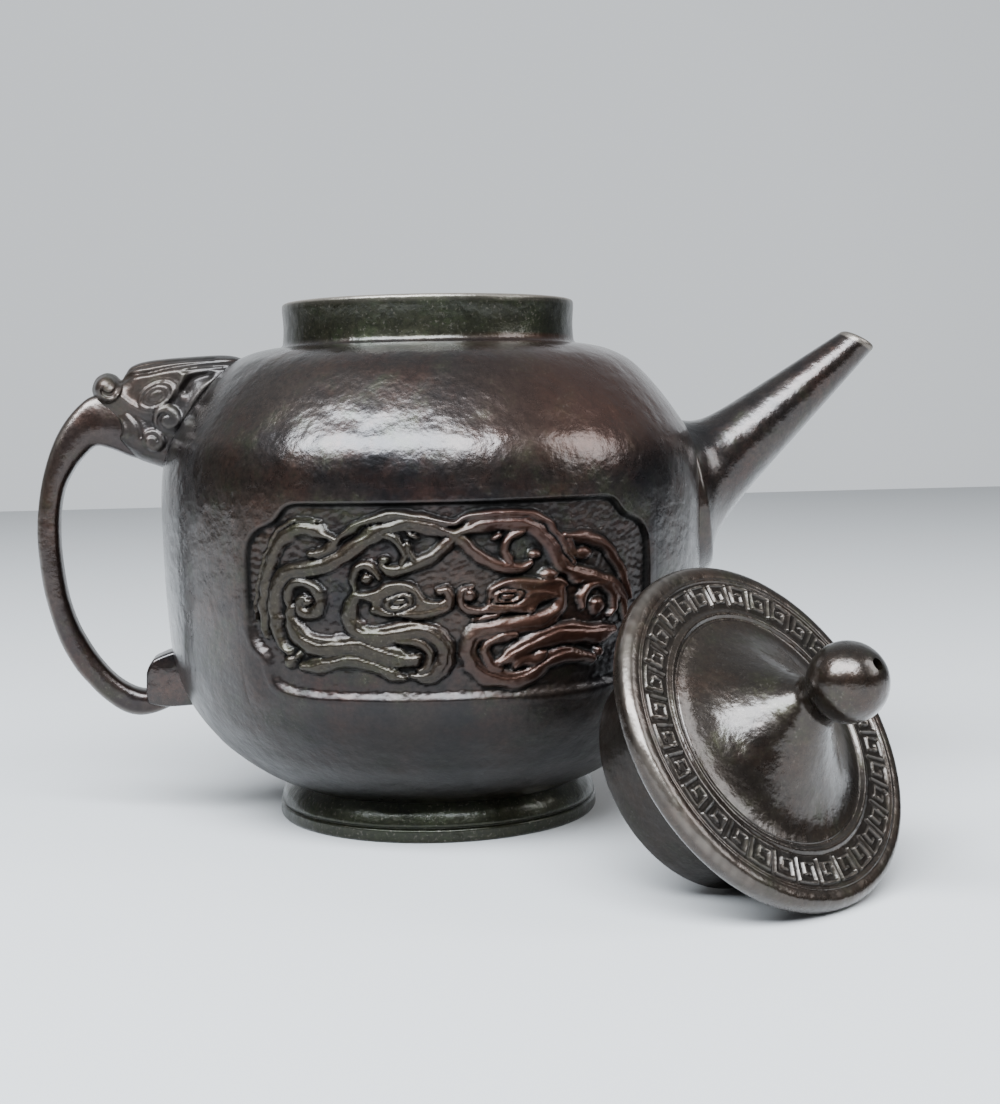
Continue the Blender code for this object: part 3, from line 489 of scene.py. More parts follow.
def patinated_bronze(name, colours, polish):
    """Cast bronze with a waxed dark patina.

    Brown lies over black, green in patches, with paler specks, and it is brighter where it was handled and
    where a highlight is painted on, and near black where shade is painted on.
    """
    material = bpy.data.materials.new(name)
    material.use_nodes = True
    tree = material.node_tree
    shader = tree.nodes["Principled BSDF"]
    coordinates = add_node(tree, "ShaderNodeTexCoord").outputs["Object"]
    worn, tone, moss, dirt, matt = [add_node(tree, "ShaderNodeAttribute", attribute_name=label).outputs["Fac"]
                                    for label in MARKS]
    broad = noise(tree, coordinates, 30.0, 5.0, 0.6)
    patches = noise(tree, coordinates, 9.0, 6.0, 0.7, (0.31, 0.17, 0.05))
    speckle = noise(tree, coordinates, 1.3, 6.0, 0.75, (0.11, 0.42, 0.23))
    specks = noise(tree, coordinates, 0.75, 2.0, 0.5, (0.7, 0.2, 0.6))
    body = ramp(tree, broad, [(0.38, linear(colours.dark)), (0.62, linear(colours.brown))])
    stains = noise(tree, coordinates, 14.0, 6.0, 0.7, (0.9, 0.6, 0.3))
    rust = ramp(tree, stains, [(0.5, grey(0.0)), (0.68, grey(0.35))])
    body = mixed(tree, rust, body, linear(colours.red))
    green = ramp(tree, patches, [(0.52, grey(0.0)), (0.68, grey(0.7))])
    green = mixed(tree, 1.0, green, moss, "ADD")
    body = mixed(tree, green, body, linear(colours.green))
    fine = ramp(tree, speckle, [(0.38, grey(0.45)), (0.66, grey(1.5))])
    body = mixed(tree, 0.7, body, fine, "MULTIPLY")
    warm = mixed(tree, tone, body, linear(colours.red))
    dust = ramp(tree, specks, [(0.60, grey(0.0)), (0.72, grey(0.24))])
    dusty = mixed(tree, mixed(tree, 1.0, dust, green, "MULTIPLY"), warm, linear(colours.worn))
    rubbed_and_highlit = mixed(tree, worn, dusty, linear(colours.worn))
    # Painted shade: near black in the panel's hollows, under the frame's top ledge, between the lid's keys
    # and on its plug; also darker low on the belly
    dirty = mixed(tree, dirt, rubbed_and_highlit, linear(colours.dirt))
    tree.links.new(dirty, shader.inputs["Base Color"])
    shine = ramp(tree, patches, [(0.3, grey(polish)), (0.7, grey(polish + 0.14))])
    dull = arithmetic(tree, "MAXIMUM", {}, {0: worn, 1: dirt})
    dull = arithmetic(tree, "MAXIMUM", {}, {0: dull, 1: matt})
    rougher = arithmetic(tree, "MULTIPLY_ADD", {1: 0.2}, {0: dull, 2: shine})
    wax = arithmetic(tree, "MULTIPLY_ADD", {1: -0.9, 2: 0.8}, {0: dull}, use_clamp=True)
    tree.links.new(rougher, shader.inputs["Roughness"])
    tree.links.new(wax, shader.inputs["Coat Weight"])
    shader.inputs["Metallic"].default_value = 0.85
    shader.inputs["Coat Roughness"].default_value = 0.2
    grain = noise(tree, coordinates, 0.8, 5.0, 0.65, (0.5, 0.1, 0.9))
    dents = noise(tree, coordinates, 7.0, 4.0, 0.5, (0.2, 0.8, 0.4))
    sandy = arithmetic(tree, "MULTIPLY_ADD", {1: 0.6, 2: 0.2}, {0: matt})
    small = add_node(tree, "ShaderNodeBump", inputs={"Distance": 0.1 * MM},
                     links={"Height": grain, "Strength": sandy})
    large = add_node(tree, "ShaderNodeBump", inputs={"Strength": 0.6, "Distance": 0.8 * MM},
                     links={"Height": dents, "Normal": small.outputs[0]})
    tree.links.new(large.outputs[0], shader.inputs["Normal"])
    tree.links.new(large.outputs[0], shader.inputs["Coat Normal"])
    return material


def bronze():
    """The one patinated bronze that every piece shares."""
    found = bpy.data.materials.get("patinated_cast_bronze")
    return found or patinated_bronze("patinated_cast_bronze", bpy.context.scene.ewer_colours, 0.22)


def belly_line():
    """The belly's outline from foot to neck."""
    return smooth_line(BELLY, 0.8)


def belly_radius(z):
    """The belly's radius at each height."""
    line = belly_line()
    return np.interp(z, line[:, 1], line[:, 0])


def sunk_for_slabs(round_mm, z):
    """How far the body's skin is sunk under the two slabs that carry the reliefs."""
    over = smooth_step(SLAB_HALF - np.abs(round_mm), SLAB_BORDER, SLAB_BORDER + 1.2)
    over = over * smooth_step(np.minimum(z - SLAB_LOW, SLAB_HIGH - z), SLAB_BORDER, SLAB_BORDER + 1.2)
    return BODY_SUNK * over


def settled_dirt(z):
    """The lower belly made darker and duller towards the bottom, stopping at the foot."""
    return 0.75 * smooth_step(-z, -52.0, -20.0) * smooth_step(z, 10.0, 13.0)


def build_body(wall):
    """Revolved shell: one profile from the middle of the floor up inside, over the rim, down to the base."""
    outer = belly_line()
    along = np.gradient(outer, axis=0)
    along /= np.linalg.norm(along, axis=1)[:, None]
    inner = outer + wall * np.stack((-along[:, 1], along[:, 0]), axis=1)
    mouth = NECK_RADIUS - wall
    inner = inner[(inner[:, 0] > mouth + 0.6) & (inner[:, 1] > FLOOR_HEIGHT + 1.2)][::3]
    share = np.linspace(0.0, 1.0, 14)
    floor = np.stack((33.0 * share, FLOOR_HEIGHT + 0.9 * share ** 3), axis=1)
    a = np.linspace(0.0, math.pi, 9)
    below_lip = RIM_HEIGHT - 2.0
    lip_radius = NECK_RADIUS - 0.5 * wall - 0.5 * wall * np.cos(a)
    lip = np.stack((lip_radius, RIM_HEIGHT - 0.9 + 0.9 * np.sin(a) ** 0.8), axis=1)
    throat = smooth_line([(mouth + 0.5, NECK_BASE - 2.1), (mouth, NECK_BASE - 0.6), (mouth, below_lip)], 0.8)
    collar = smooth_line([(NECK_RADIUS, below_lip), (NECK_RADIUS - 0.25, NECK_BASE + 5.0),
                          (NECK_RADIUS, NECK_BASE + 1.2), (NECK_RADIUS + 0.5, NECK_BASE + 0.3)], 0.7)
    foot = smooth_line([(38.0, 9.2), (38.9, 8.0), (39.8, 6.6), (40.4, 5.0), (40.55, 4.0), (40.1, 3.55)], 0.3)
    plinth = smooth_line([(40.1, 3.45), (40.75, 3.1), (FOOT_RADIUS, 2.6), (FOOT_RADIUS, 0.7), (40.3, 0.0)],
                         0.3)
    under = np.array([(39.0, 0.0), (FOOT_INNER + 0.8, 0.0), (FOOT_INNER, 0.5),
                      (FOOT_INNER - 0.8, FOOT_CEILING - 0.6), (FOOT_INNER - 1.8, FOOT_CEILING),
                      (24.0, FOOT_CEILING), (12.0, FOOT_CEILING), (0.0, FOOT_CEILING)])
    profile = np.vstack((floor, inner, throat, lip, collar, outer[::-1], foot[1:], plinth, under))
    angle = round_angles(BODY_COLUMNS)
    radius = np.repeat(profile[:, :1], BODY_COLUMNS, axis=1)
    z = np.repeat(profile[:, 1:], BODY_COLUMNS, axis=1)
    first = len(floor) + len(inner) + len(throat) + len(lip) + len(collar)
    skin = np.zeros(len(profile), bool)
    skin[first:first + len(outer)] = True
    from_front = (angle + 1.5 * math.pi) % math.pi
    from_front = np.minimum(from_front, math.pi - from_front) * PANEL_RADIUS
    radius = radius + skin[:, None] * sunk_for_slabs(np.abs(from_front)[None, :], z)
    points = turned_about(radius, angle, z)
    rim = np.exp(-((z - RIM_HEIGHT) / 0.7) ** 2)
    redness = smooth_step(points[..., 0], -5.0, 45.0) * smooth_step(z, 87.0, 102.0) * (z < 121.0)
    redness = redness * smooth_step(-points[..., 1], -10.0, 30.0)
    green = 0.7 * smooth_step(z, NECK_BASE, NECK_BASE + 2.0) + 0.8 * smooth_step(-z, -13.0, -7.0)
    return put_mesh("body", points, grid_faces(len(profile), BODY_COLUMNS, False, True),
                    worn=rim, tone=0.75 * redness, moss=green, matt=0.5 * green, dirt=settled_dirt(z))


def rounded(outline, step, times):
    """The closed outline resampled every step, its corners rounded by averaging with both neighbours."""
    outline = np.vstack((outline, outline[:1]))
    gone = lengths_along(outline)
    line = columns_at(np.arange(0.0, gone[-1], step), gone, outline)
    for _ in range(times):
        line = (line + np.roll(line, 1, axis=0) + np.roll(line, -1, axis=0)) / 3.0
    return np.vstack((line, line[:1]))


def closed_distance(across, z, outline):
    """Distance inside (positive) or outside a closed outline.

    A place is inside where a level ray from it crosses the outline an odd number of times.
    """
    away, _, _ = line_reach(across, z, outline)
    x0, z0, x1, z1 = outline[:-1, 0], outline[:-1, 1], outline[1:, 0], outline[1:, 1]
    px, pz = across[..., None], z[..., None]
    rise = np.where(z1 == z0, 1.0, z1 - z0)
    crossed = ((z0 > pz) != (z1 > pz)) & (px < x0 + (pz - z0) * (x1 - x0) / rise)
    return np.where(crossed.sum(axis=-1) % 2 == 1, away, -away)


def frame_distance(across, z):
    """Distance inside (positive) or outside the frame's outline."""
    right = np.array(FRAME_HALF)
    return closed_distance(across, z, rounded(np.vstack((right, right[-2:0:-1] * (-1.0, 1.0))), 0.7, 4))


def ribbons(across, z, dragon, names, height):
    """Height of a dragon's lines: (1 - x^2)^0.75 across the width, with a thin groove along the wide ones."""
    top = np.zeros_like(across)
    for name in names:
        half, points = dragon[name]
        half = RIBBON_FULLNESS * half
        line = smooth_line(points, 0.9)
        near = ((across > line[:, 0].min() - half - 1.0) & (across < line[:, 0].max() + half + 1.0)
                & (z > line[:, 1].min() - half - 1.0) & (z < line[:, 1].max() + half + 1.0))
        away, side, share = line_reach(across[near], z[near], line)
        width = half * (0.55 + 0.45 * smooth_step(np.minimum(share, 1.0 - share), 0.0, 0.14))
        x = np.clip(away / width, 0.0, 1.0)
        rise = (1.0 - x ** 2) ** 0.75 * (0.75 + 0.25 * min(1.0, half / 1.6))
        if half > RIBBON_GROOVED:
            rise = rise - 0.2 * np.exp(-((x * side - 0.38) / 0.1) ** 2)
        top[near] = np.maximum(top[near], height * rise)
    return top


def almond(across, z, middle_x, middle_z, half_long, half_high, tilt):
    """Distance from the middle of a tilted almond, 1 at its edge."""
    turn = math.radians(tilt)
    along = (across - middle_x) * math.cos(turn) + (z - middle_z) * math.sin(turn)
    over = (z - middle_z) * math.cos(turn) - (across - middle_x) * math.sin(turn)
    return np.hypot(along / half_long, over / half_high)


def rough(across, z, size, seed):
    """Sum of 28 waves of random heading, about size mm long and stretched sideways: hand-punched ground."""
    chance = np.random.default_rng(seed)
    field = np.zeros_like(across)
    for _ in range(28):
        heading = chance.uniform(0.0, 2.0 * math.pi)
        wave = 2.0 * math.pi / (size * chance.uniform(0.6, 1.8))
        course = 0.45 * across * math.cos(heading) + z * math.sin(heading)
        field += np.sin(wave * course + chance.uniform(0.0, 6.3))
    return field / 5.3


def relief(across, z, plain):
    """Depth of a panel over the belly's skin, height of its two dragons over its floor, and a painted shadow
    along the inside of the frame's upper ledge.
    """
    inside = frame_distance(across, z)
    low = smooth_step(-z, -62.0, -48.0)
    ledge = smooth_step(inside / (0.9 + 1.5 * low), -0.15, 1.0)
    bead = FRAME_BEAD * low * np.exp(-((inside + 0.6) / 0.9) ** 2)
    span = RELIEF_TOP - PANEL_FLOOR
    flat_across, flat_z = across, z
    across = across + WANDER * rough(flat_across, flat_z, 4.0, 5)
    z = z + WANDER * rough(flat_across, flat_z, 3.4, 6)
    top = np.zeros_like(across)
    for dragon in (LEFT_DRAGON, RIGHT_DRAGON):
        chosen = [name for name in dragon if not plain or name in BACK_LINES]
        top = np.maximum(top, ribbons(across, z, dragon, chosen, span))
    if not plain:
        for corners in HEADS:
            level = smooth_step(closed_distance(across, z, rounded(np.array(corners), 0.4, 3)), -0.25, 0.75)
            top = np.maximum(top, 0.8 * span * level)
        for boss in BOSSES:
            r = np.clip(almond(across, z, *boss), 0.0, 1.0)
            top = np.maximum(top, span * (1.0 - r ** 4) * (1.0 - 0.3 * r ** 2))
        for eye in EYES:
            r = almond(across, z, *eye)
            top += 0.30 * np.exp(-((r - 0.98) / 0.18) ** 2) - 0.55 * np.exp(-((r - 0.62) / 0.16) ** 2)
            top -= 0.5 * np.exp(-((r - 1.36) / 0.17) ** 2) * (top > 0.3)
    ground = smooth_step(-top, -0.25, 0.0) * smooth_step(inside, 0.4, 1.2)
    waves = 0.06 * rough(flat_across, flat_z, 1.1, 3) + 0.05 * rough(flat_across, flat_z, 3.5, 8)
    depth = bead + PANEL_FLOOR * ledge + top * smooth_step(inside, 0.2, 0.9)
    depth = depth + waves * (0.4 + 0.6 * ground) * ledge
    # Painted shadow: a dark line just inside the frame's edge, along its upper part
    return depth, top, (1.0 - low) * np.exp(-((inside - 0.6) / 0.6) ** 2)


def build_panel(name, step, turned, plain):
    """A slab in the belly's wall: outside the relief over the belly's skin, inside a plain face."""
    across = np.linspace(-SLAB_HALF, SLAB_HALF, int(round(2.0 * SLAB_HALF / step)) + 1)
    z = np.linspace(SLAB_LOW, SLAB_HIGH, int(round((SLAB_HIGH - SLAB_LOW) / step)) + 1)
    across, z = np.meshgrid(across, z)
    depth, top, painted_ledge_shadow = relief(across, z, plain)
    border = np.minimum(SLAB_HALF - np.abs(across), np.minimum(z - SLAB_LOW, SLAB_HIGH - z))
    depth = depth + SEAM_LIFT - SEAM_DIP * (1.0 - smooth_step(border, 0.0, SLAB_BORDER - 0.3))
    soft = blurred(depth, 10)
    raised = smooth_step(depth - soft, 0.08, 0.5)
    # Painted shade: darker where the surface lies below its blurred self, in the hollows beside the raised
    # lines
    painted_hollow_shade = smooth_step(soft - depth, 0.05, 0.4)
    rows, columns = across.shape
    angle = across / PANEL_RADIUS - 0.5 * math.pi + turned
    skins = [turned_about(belly_radius(z) + lift, angle, z) for lift in (depth, SLAB_INNER)]
    points = np.concatenate([skin.reshape(-1, 3) for skin in skins])
    count = rows * columns
    quads = grid_faces(rows, columns, False, False)
    back = quads[:, ::-1] + count
    sides = []
    for edge in (np.arange(columns), np.arange(columns)[::-1] + (rows - 1) * columns,
                 (np.arange(rows) * columns)[::-1], np.arange(rows) * columns + columns - 1):
        sides.append(np.stack((edge[1:], edge[:-1], edge[:-1] + count, edge[1:] + count), axis=1))
    faces = np.vstack([quads, back] + sides)
    high = smooth_step(top, 0.5, 1.3)
    red = high * (0.1 + 0.45 * smooth_step(across, -6.0, 14.0)) * (0.0 if plain else 1.0)
    olive = 0.5 * high * smooth_step(-across, -6.0, 14.0)
    dirt = np.maximum(np.maximum(painted_hollow_shade, painted_ledge_shadow), settled_dirt(z))
    marks = {"worn": 0.025 * raised, "tone": red, "moss": olive, "dirt": dirt,
             "matt": 0.45 * smooth_step(border, 0.0, 6.0)}
    marks = {label: np.concatenate((part.ravel(), np.zeros(count))) for label, part in marks.items()}
    return put_mesh(name, points, faces, sharp=math.radians(78.0), **marks)


def spout_section(back, radius, tilt, angle):
    """Points of a round section of the spout, a distance back from its tip, leaning by a tilt."""
    along = np.array((math.cos(SPOUT_SLOPE), 0.0, math.sin(SPOUT_SLOPE)))
    up = np.array((-math.sin(SPOUT_SLOPE), 0.0, math.cos(SPOUT_SLOPE)))
    middle = np.array((TIP[0], 0.0, TIP[1])) - back * along
    rise = radius * np.cos(angle)
    side = radius * np.sin(angle)
    lean = rise * math.tan(tilt)
    return middle + rise[:, None] * up - lean[:, None] * along + side[:, None] * (0.0, 1.0, 0.0)


def build_spout():
    """Cone on a slanted axis: radius = tip + taper x distance, plus a fillet e^(-gap / reach)."""
    angle = round_angles(SPOUT_COLUMNS)
    backs = np.concatenate((np.linspace(SPOUT_LENGTH, 1.2, SPOUT_ROWS), LIP_BACKS))
    lips = np.concatenate((np.zeros(SPOUT_ROWS), LIP_DROPS))
    rows = []
    for back, lip in zip(backs, lips):
        tilt = MOUTH_TILT * max(0.0, 1.0 - back / TILT_REACH)
        radius = np.full_like(angle, TIP_RADIUS + SPOUT_TAPER * back + lip)
        bare = spout_section(back, radius, tilt, angle)
        gap = np.hypot(bare[:, 0], bare[:, 1]) - belly_radius(bare[:, 2])
        radius = radius + ROOT_FLARE * np.exp(-np.clip(gap, 0.0, 60.0) / ROOT_REACH)
        rows.append(spout_section(back, radius, tilt, angle))
    for back in np.concatenate(((0.0, 0.5), np.linspace(2.0, SPOUT_LENGTH, 40))):
        widened = 0.5 * math.exp(-back / 0.7)
        radius = np.full_like(angle, BORE_TIP + widened + BORE_TAPER * back)
        rows.append(spout_section(back, radius, MOUTH_TILT * max(0.0, 1.0 - back / TILT_REACH), angle))
    points = np.stack(rows)
    lip_worn = np.zeros(points.shape[:2])
    lip_worn[SPOUT_ROWS - 2:SPOUT_ROWS + 8] = 0.6
    return put_mesh("spout", points, grid_faces(len(rows), len(angle), True, True), worn=lip_worn)


def build_strap():
    """Bar between two edges seen from the side: section |a|^p + |b|^p = 1 in thickness and width, p = 3.2."""
    share = np.linspace(0.0, 1.0, 260)
    edges = []
    for points in (STRAP_OUTER, STRAP_INNER):
        marks = np.linspace(0.0, 1.0, len(points))
        line = smooth_line(np.column_stack((points, marks)), 0.5)
        edges.append(columns_at(share, line[:, 2], line[:, :2]))
    middle = 0.5 * (edges[0] + edges[1])
    across = 0.5 * (edges[0] - edges[1])
    widths = np.array(STRAP_WIDTH)
    half = np.interp(share, widths[:, 0], widths[:, 1])[:, None]
    angle = round_angles(64)
    a = np.sign(np.cos(angle)) * np.abs(np.cos(angle)) ** 0.62
    b = np.sign(np.sin(angle)) * np.abs(np.sin(angle)) ** 0.62
    x = middle[:, :1] + across[:, :1] * a
    z = middle[:, 1:] + across[:, 1:] * a
    points = np.stack((x, half * b * (1.0 - 0.16 * np.clip(a, 0.0, 1.0)), z), axis=-1)
    ends = [np.full((1, len(angle), 3), (end[0], 0.0, end[1])) for end in (middle[0], middle[-1])]
    points = np.concatenate((ends[0], points, ends[1]))
    # Paler line along the edge between the outer face and the sides: wear and a painted highlight
    edge_wear_and_highlight = np.exp(-((a - 0.78) / 0.16) ** 2) * (np.abs(b) > 0.3)
    worn = np.repeat(edge_wear_and_highlight[None, :], len(points), axis=0)
    return put_mesh("strap", points, grid_faces(len(points), len(angle), False, True),
                    worn=0.2 * worn, tone=0.1, matt=0.25)


def build_block():
    """Block under the strap's end: a wedge with a sloping top, a rounded section swept across."""
    outline = smooth_line([(-60.0, 29.5), (-68.0, 29.2), (-72.6, 30.0), (-73.6, 31.5), (-73.6, 36.0),
                           (-73.4, 38.3), (-72.4, 40.4), (-71.0, 41.6), (-66.0, 43.3), (-60.0, 43.3)], 0.5)
    centre = np.array((-66.0, 36.0))
    share = np.array((-1.0, -0.985, -0.95, -0.85, 0.85, 0.95, 0.985, 1.0))
    shrink = np.array((0.0, 0.9, 0.96, 1.0, 1.0, 0.96, 0.9, 0.0))
    flat = centre + (outline - centre)[None, :, :] * shrink[:, None, None]
    y = np.repeat(5.0 * share[:, None], len(outline), axis=1)
    points = np.stack((flat[..., 0], y, flat[..., 1]), axis=-1)
    return put_mesh("strap_block", points, grid_faces(len(share), len(outline), False, True))


def swirl(x, z, middle_x, middle_z, radius, turns, start):
    """A rolled scroll: a disc of height 1 - r^5 with a spiral groove.

    The groove runs half way between the places where turns x r - turn - start is a whole number.
    """
    dx, dz = x - middle_x, z - middle_z
    r = np.hypot(dx, dz) / radius
    turn = np.arctan2(dz, dx) / (2.0 * math.pi)
    wave = np.cos(2.0 * math.pi * (turns * r - turn - start))
    groove_depth = (1.0 - smooth_step(wave, -1.0, -0.25)) * smooth_step(r, 0.12, 0.3)
    dome = np.clip(1.0 - r ** 5, 0.0, 1.0)
    return dome * (1.0 - 0.45 * groove_depth)


def groove(x, z, points, half):
    """1 in the middle of a line, falling to 0 over half its width."""
    away, _, _ = line_reach(x, z, smooth_line(points, 0.6))
    return np.exp(-(away / half) ** 2)


def head_relief(x, z):
    """Carving on the head's flanks, in mm outwards."""
    out = np.max([height * swirl(x, z, *place) for height, place in HEAD_SWIRLS], axis=0)
    ring = almond(x, z, -68.4, 107.6, 6.3, 3.8, EYE_TILT)
    out += 0.9 * np.clip(1.0 - ring ** 4, 0.0, 1.0) * (0.4 + 0.6 * (1.0 - smooth_step(out, 0.0, 0.6)))
    for place, depth in EYE_RINGS:
        out -= depth * np.exp(-((ring - place) / 0.085) ** 2)
    out += 0.8 * np.clip(1.0 - almond(x, z, -74.6, 98.4, 5.4, 4.2, -50.0) ** 2, 0.0, 1.0)
    for line, half, depth in HEAD_LINES:
        out += depth * groove(x, z, line, half)
    return out


def build_head():
    """Side view between a top and a bottom edge: y = half width x (1 - (1 - d/e)^2)^0.5, d from the edge."""
    share = np.linspace(0.0, 1.0, HEAD_ROWS)
    edges = [smooth_line(points, 0.4) for points in (HEAD_TOP, HEAD_BOTTOM)]
    top, bottom = [columns_at(share, np.linspace(0.0, 1.0, len(edge)), edge) for edge in edges]
    v = 0.5 - 0.5 * np.cos(np.linspace(0.0, math.pi, HEAD_COLUMNS))
    x = bottom[:, None, 0] + (top - bottom)[:, None, 0] * v
    z = bottom[:, None, 1] + (top - bottom)[:, None, 1] * v
    outline = np.vstack((top[::-1], bottom))
    away, _, _ = line_reach(x, z, outline)
    widths = np.array(HEAD_WIDTH)
    half = np.interp(x, widths[:, 0], widths[:, 1])
    rounding = np.clip(away / HEAD_ROUNDING, 0.0, 1.0)
    y = half * np.sqrt(1.0 - (1.0 - rounding) ** 2)
    clear = smooth_step(np.hypot(x, y) - belly_radius(z), -1.5, 0.8)
    carved = head_relief(x, z)
    y = y + carved * smooth_step(away, 0.0, 1.4) * clear
    y[:, 0] = 0.0
    y[:, -1] = 0.0
    front = np.stack((x, -y, z), axis=-1)
    rear = np.stack((x, y, z), axis=-1)[:, ::-1][:, 1:-1]
    points = np.concatenate((front, rear), axis=1)
    raised = 0.06 + 0.2 * smooth_step(carved - blurred(carved, 14), 0.05, 0.6)
    worn = np.concatenate((raised, raised[:, ::-1][:, 1:-1]), axis=1)
    end = points[-1:].mean(axis=1, keepdims=True).repeat(points.shape[1], axis=1)
    points = np.concatenate((points, end))
    worn = np.concatenate((worn, worn[-1:]))
    return put_mesh("beast_head", points, grid_faces(HEAD_ROWS + 1, points.shape[1], False, True),
                    worn=worn, matt=0.6)


def key_pattern(radius, angle):
    """Key pattern: in each square a hooked bar and a small stem, by distance from straight strokes."""
    pitch = 2.0 * math.pi / KEY_COUNT
    u = (angle % pitch) / pitch
    v = (radius - KEY_INNER) / (KEY_OUTER - KEY_INNER)
    unit = 6.0
    corners = [(0.06, 0.08), (0.06, 0.92), (0.80, 0.92), (0.80, 0.22), (0.36, 0.22), (0.36, 0.62),
               (0.56, 0.62)]
    height = np.zeros_like(u)
    for (x0, z0), (x1, z1) in zip(corners, corners[1:]):
        dx = np.maximum(np.maximum(min(x0, x1) - u, u - max(x0, x1)), 0.0)
        dz = np.maximum(np.maximum(min(z0, z1) - v, v - max(z0, z1)), 0.0)
        height = np.maximum(height, 1.0 - smooth_step(unit * np.hypot(dx, dz), 0.16, 0.46))
    return height


def lid_profile():
    """Closed profile of the lid: vent, knob, stem, dome, band, rim, plug, underside, vent."""
    a = np.radians(np.linspace(80.8, -46.0, 36))
    knob = np.stack((KNOB_RADIUS * np.cos(a), KNOB_CENTRE + KNOB_RADIUS * np.sin(a)), axis=1)
    stem = smooth_line([(5.7, 15.6), (5.5, 14.3), (5.8, 12.9), (6.6, 11.6), (7.4, 10.6), (8.2, 9.75)], 0.7)
    r = np.linspace(8.3, 25.2, 18)
    dome = np.stack((r, 9.9 * ((25.2 - r) / 16.9) ** 1.6 - 0.3), axis=1)
    lip = np.array([(25.3, -0.45), (25.7, -0.55), (26.1, -0.45), (26.4, 0.0), (26.7, 0.18), (27.2, 0.18),
                    (27.5, 0.0), (27.8, -0.2), (28.1, -0.28)])
    band = np.stack((np.linspace(28.3, 34.3, 30), np.full(30, -0.3)), axis=1)
    border = np.array([(34.5, -0.25), (34.7, 0.0), (35.0, 0.1), (35.3, 0.0), (35.5, -0.12), (35.8, -0.05)])
    rim = smooth_line([(36.2, 0.0), (37.2, -0.05), (38.0, -0.35), (38.7, -1.2), (39.0, -2.3), (39.0, -3.6),
                       (38.7, -4.4), (37.9, LID_SEAT)], 0.45)
    seat = np.array([(36.0, LID_SEAT), (33.0, LID_SEAT), (28.6, LID_SEAT)])
    plug = smooth_line([(27.6, -5.1), (27.4, -7.0), (26.6, -15.0), (25.9, -23.4)], 2.0)
    b = np.linspace(0.0, 0.5 * math.pi, 7)
    end = np.stack((23.4 + 2.4 * np.cos(b), PLUG_END + 1.2 - 1.2 * np.sin(b)), axis=1)
    inner = np.array([(22.8, -26.3), (22.5, -25.9), (22.8, -25.0), (23.4, -24.0), (24.0, -16.0), (24.8, -7.0),
                      (24.6, -4.2), (23.4, -3.0)])
    under = smooth_line([(21.0, -2.5), (14.0, 0.5), (9.0, 3.0), (4.0, 4.0), (1.35, 4.0)], 3.0)
    vent = np.array([(1.35, 12.0), (1.35, 22.0)])
    return np.vstack((knob, stem, dome, lip, band, border, rim, seat, plug, end, inner, under, vent))


def lid_pose():
    """The lid's axis and the middle of its face: it lies on its rim and on the rounded edge of its plug."""
    profile = lid_profile()
    rim = profile[(profile[:, 1] > -5.0) & (profile[:, 0] > 30.0)]
    plug = profile[profile[:, 1] < -12.0]
    tilts = np.linspace(0.2, 1.2, 4001)[:, None]
    over = (rim[:, 0] * np.cos(tilts) - rim[:, 1] * np.sin(tilts)).max(axis=1)
    under = (plug[:, 0] * np.cos(tilts) - plug[:, 1] * np.sin(tilts)).max(axis=1)
    best = int(np.argmin(np.abs(over - under)))
    tilt = float(tilts[best, 0])
    level = math.cos(tilt)
    axis = Vector((level * math.cos(LID_HEADING), level * math.sin(LID_HEADING), math.sin(tilt)))
    down = (axis * axis.z - Vector((0.0, 0.0, 1.0))).normalized()
    turn = np.array(Matrix((down, axis.cross(down), axis)).transposed())
    return turn, np.array((LID_MIDDLE_X, LID_MIDDLE_Y, float(max(over[best], under[best]))))


def build_lid():
    """Revolved closed profile with the key pattern raised on its band, turned into its resting place."""
    profile = lid_profile()
    angle = round_angles(LID_COLUMNS)
    radius = np.repeat(profile[:, :1], LID_COLUMNS, axis=1)
    height = np.repeat(profile[:, 1:], LID_COLUMNS, axis=1)
    turned = np.repeat(angle[None, :], len(profile), axis=0)
    band = (radius > KEY_INNER - 0.3) & (radius < KEY_OUTER + 0.3) & (height > -1.0)
    uneven = 0.8 + 0.12 * rough(radius * np.cos(turned), radius * np.sin(turned), 2.4, 11)
    pattern = key_pattern(radius, turned) * band * np.clip(uneven, 0.4, 1.0)
    height = height + KEY_RIDGE * pattern
    turn, middle = lid_pose()
    points = turned_about(radius, angle, height) @ turn.T + middle
    rim_wear_and_highlight = smooth_step(radius, 36.6, 38.0) * smooth_step(height, -2.6, -1.2)
    rim_wear_and_highlight = rim_wear_and_highlight * np.clip(1.8 * uneven - 0.9, 0.0, 1.0)
    # Mostly on the side towards the window: a painted highlight over the rim's wear
    rim_wear_and_highlight = rim_wear_and_highlight * (0.1 + 0.9 * smooth_step(middle[0] - points[..., 0], 4.0, 22.0))
    worn = np.clip(0.25 * pattern + 0.5 * rim_wear_and_highlight, 0.0, 1.0)
    face = np.clip(1.0 - rim_wear_and_highlight, 0.0, 1.0)
    # Painted shade: dark in the gaps between the keys and on the plug below the flange
    under = smooth_step(-height, 4.5, 6.0)
    dirt = np.maximum(0.7 * band * (1.0 - pattern), 0.6 * under)
    return put_mesh("knobbed_lid", points, grid_faces(len(profile), LID_COLUMNS, True, True),
                    worn=worn, tone=0.12 * face, moss=0.3 * face, dirt=dirt)


def hex_colour(name, meaning, default):
    """A colour that the panel lists, as hex."""
    return bpy.props.StringProperty(name=name, description="Hex colour " + meaning, default=default)


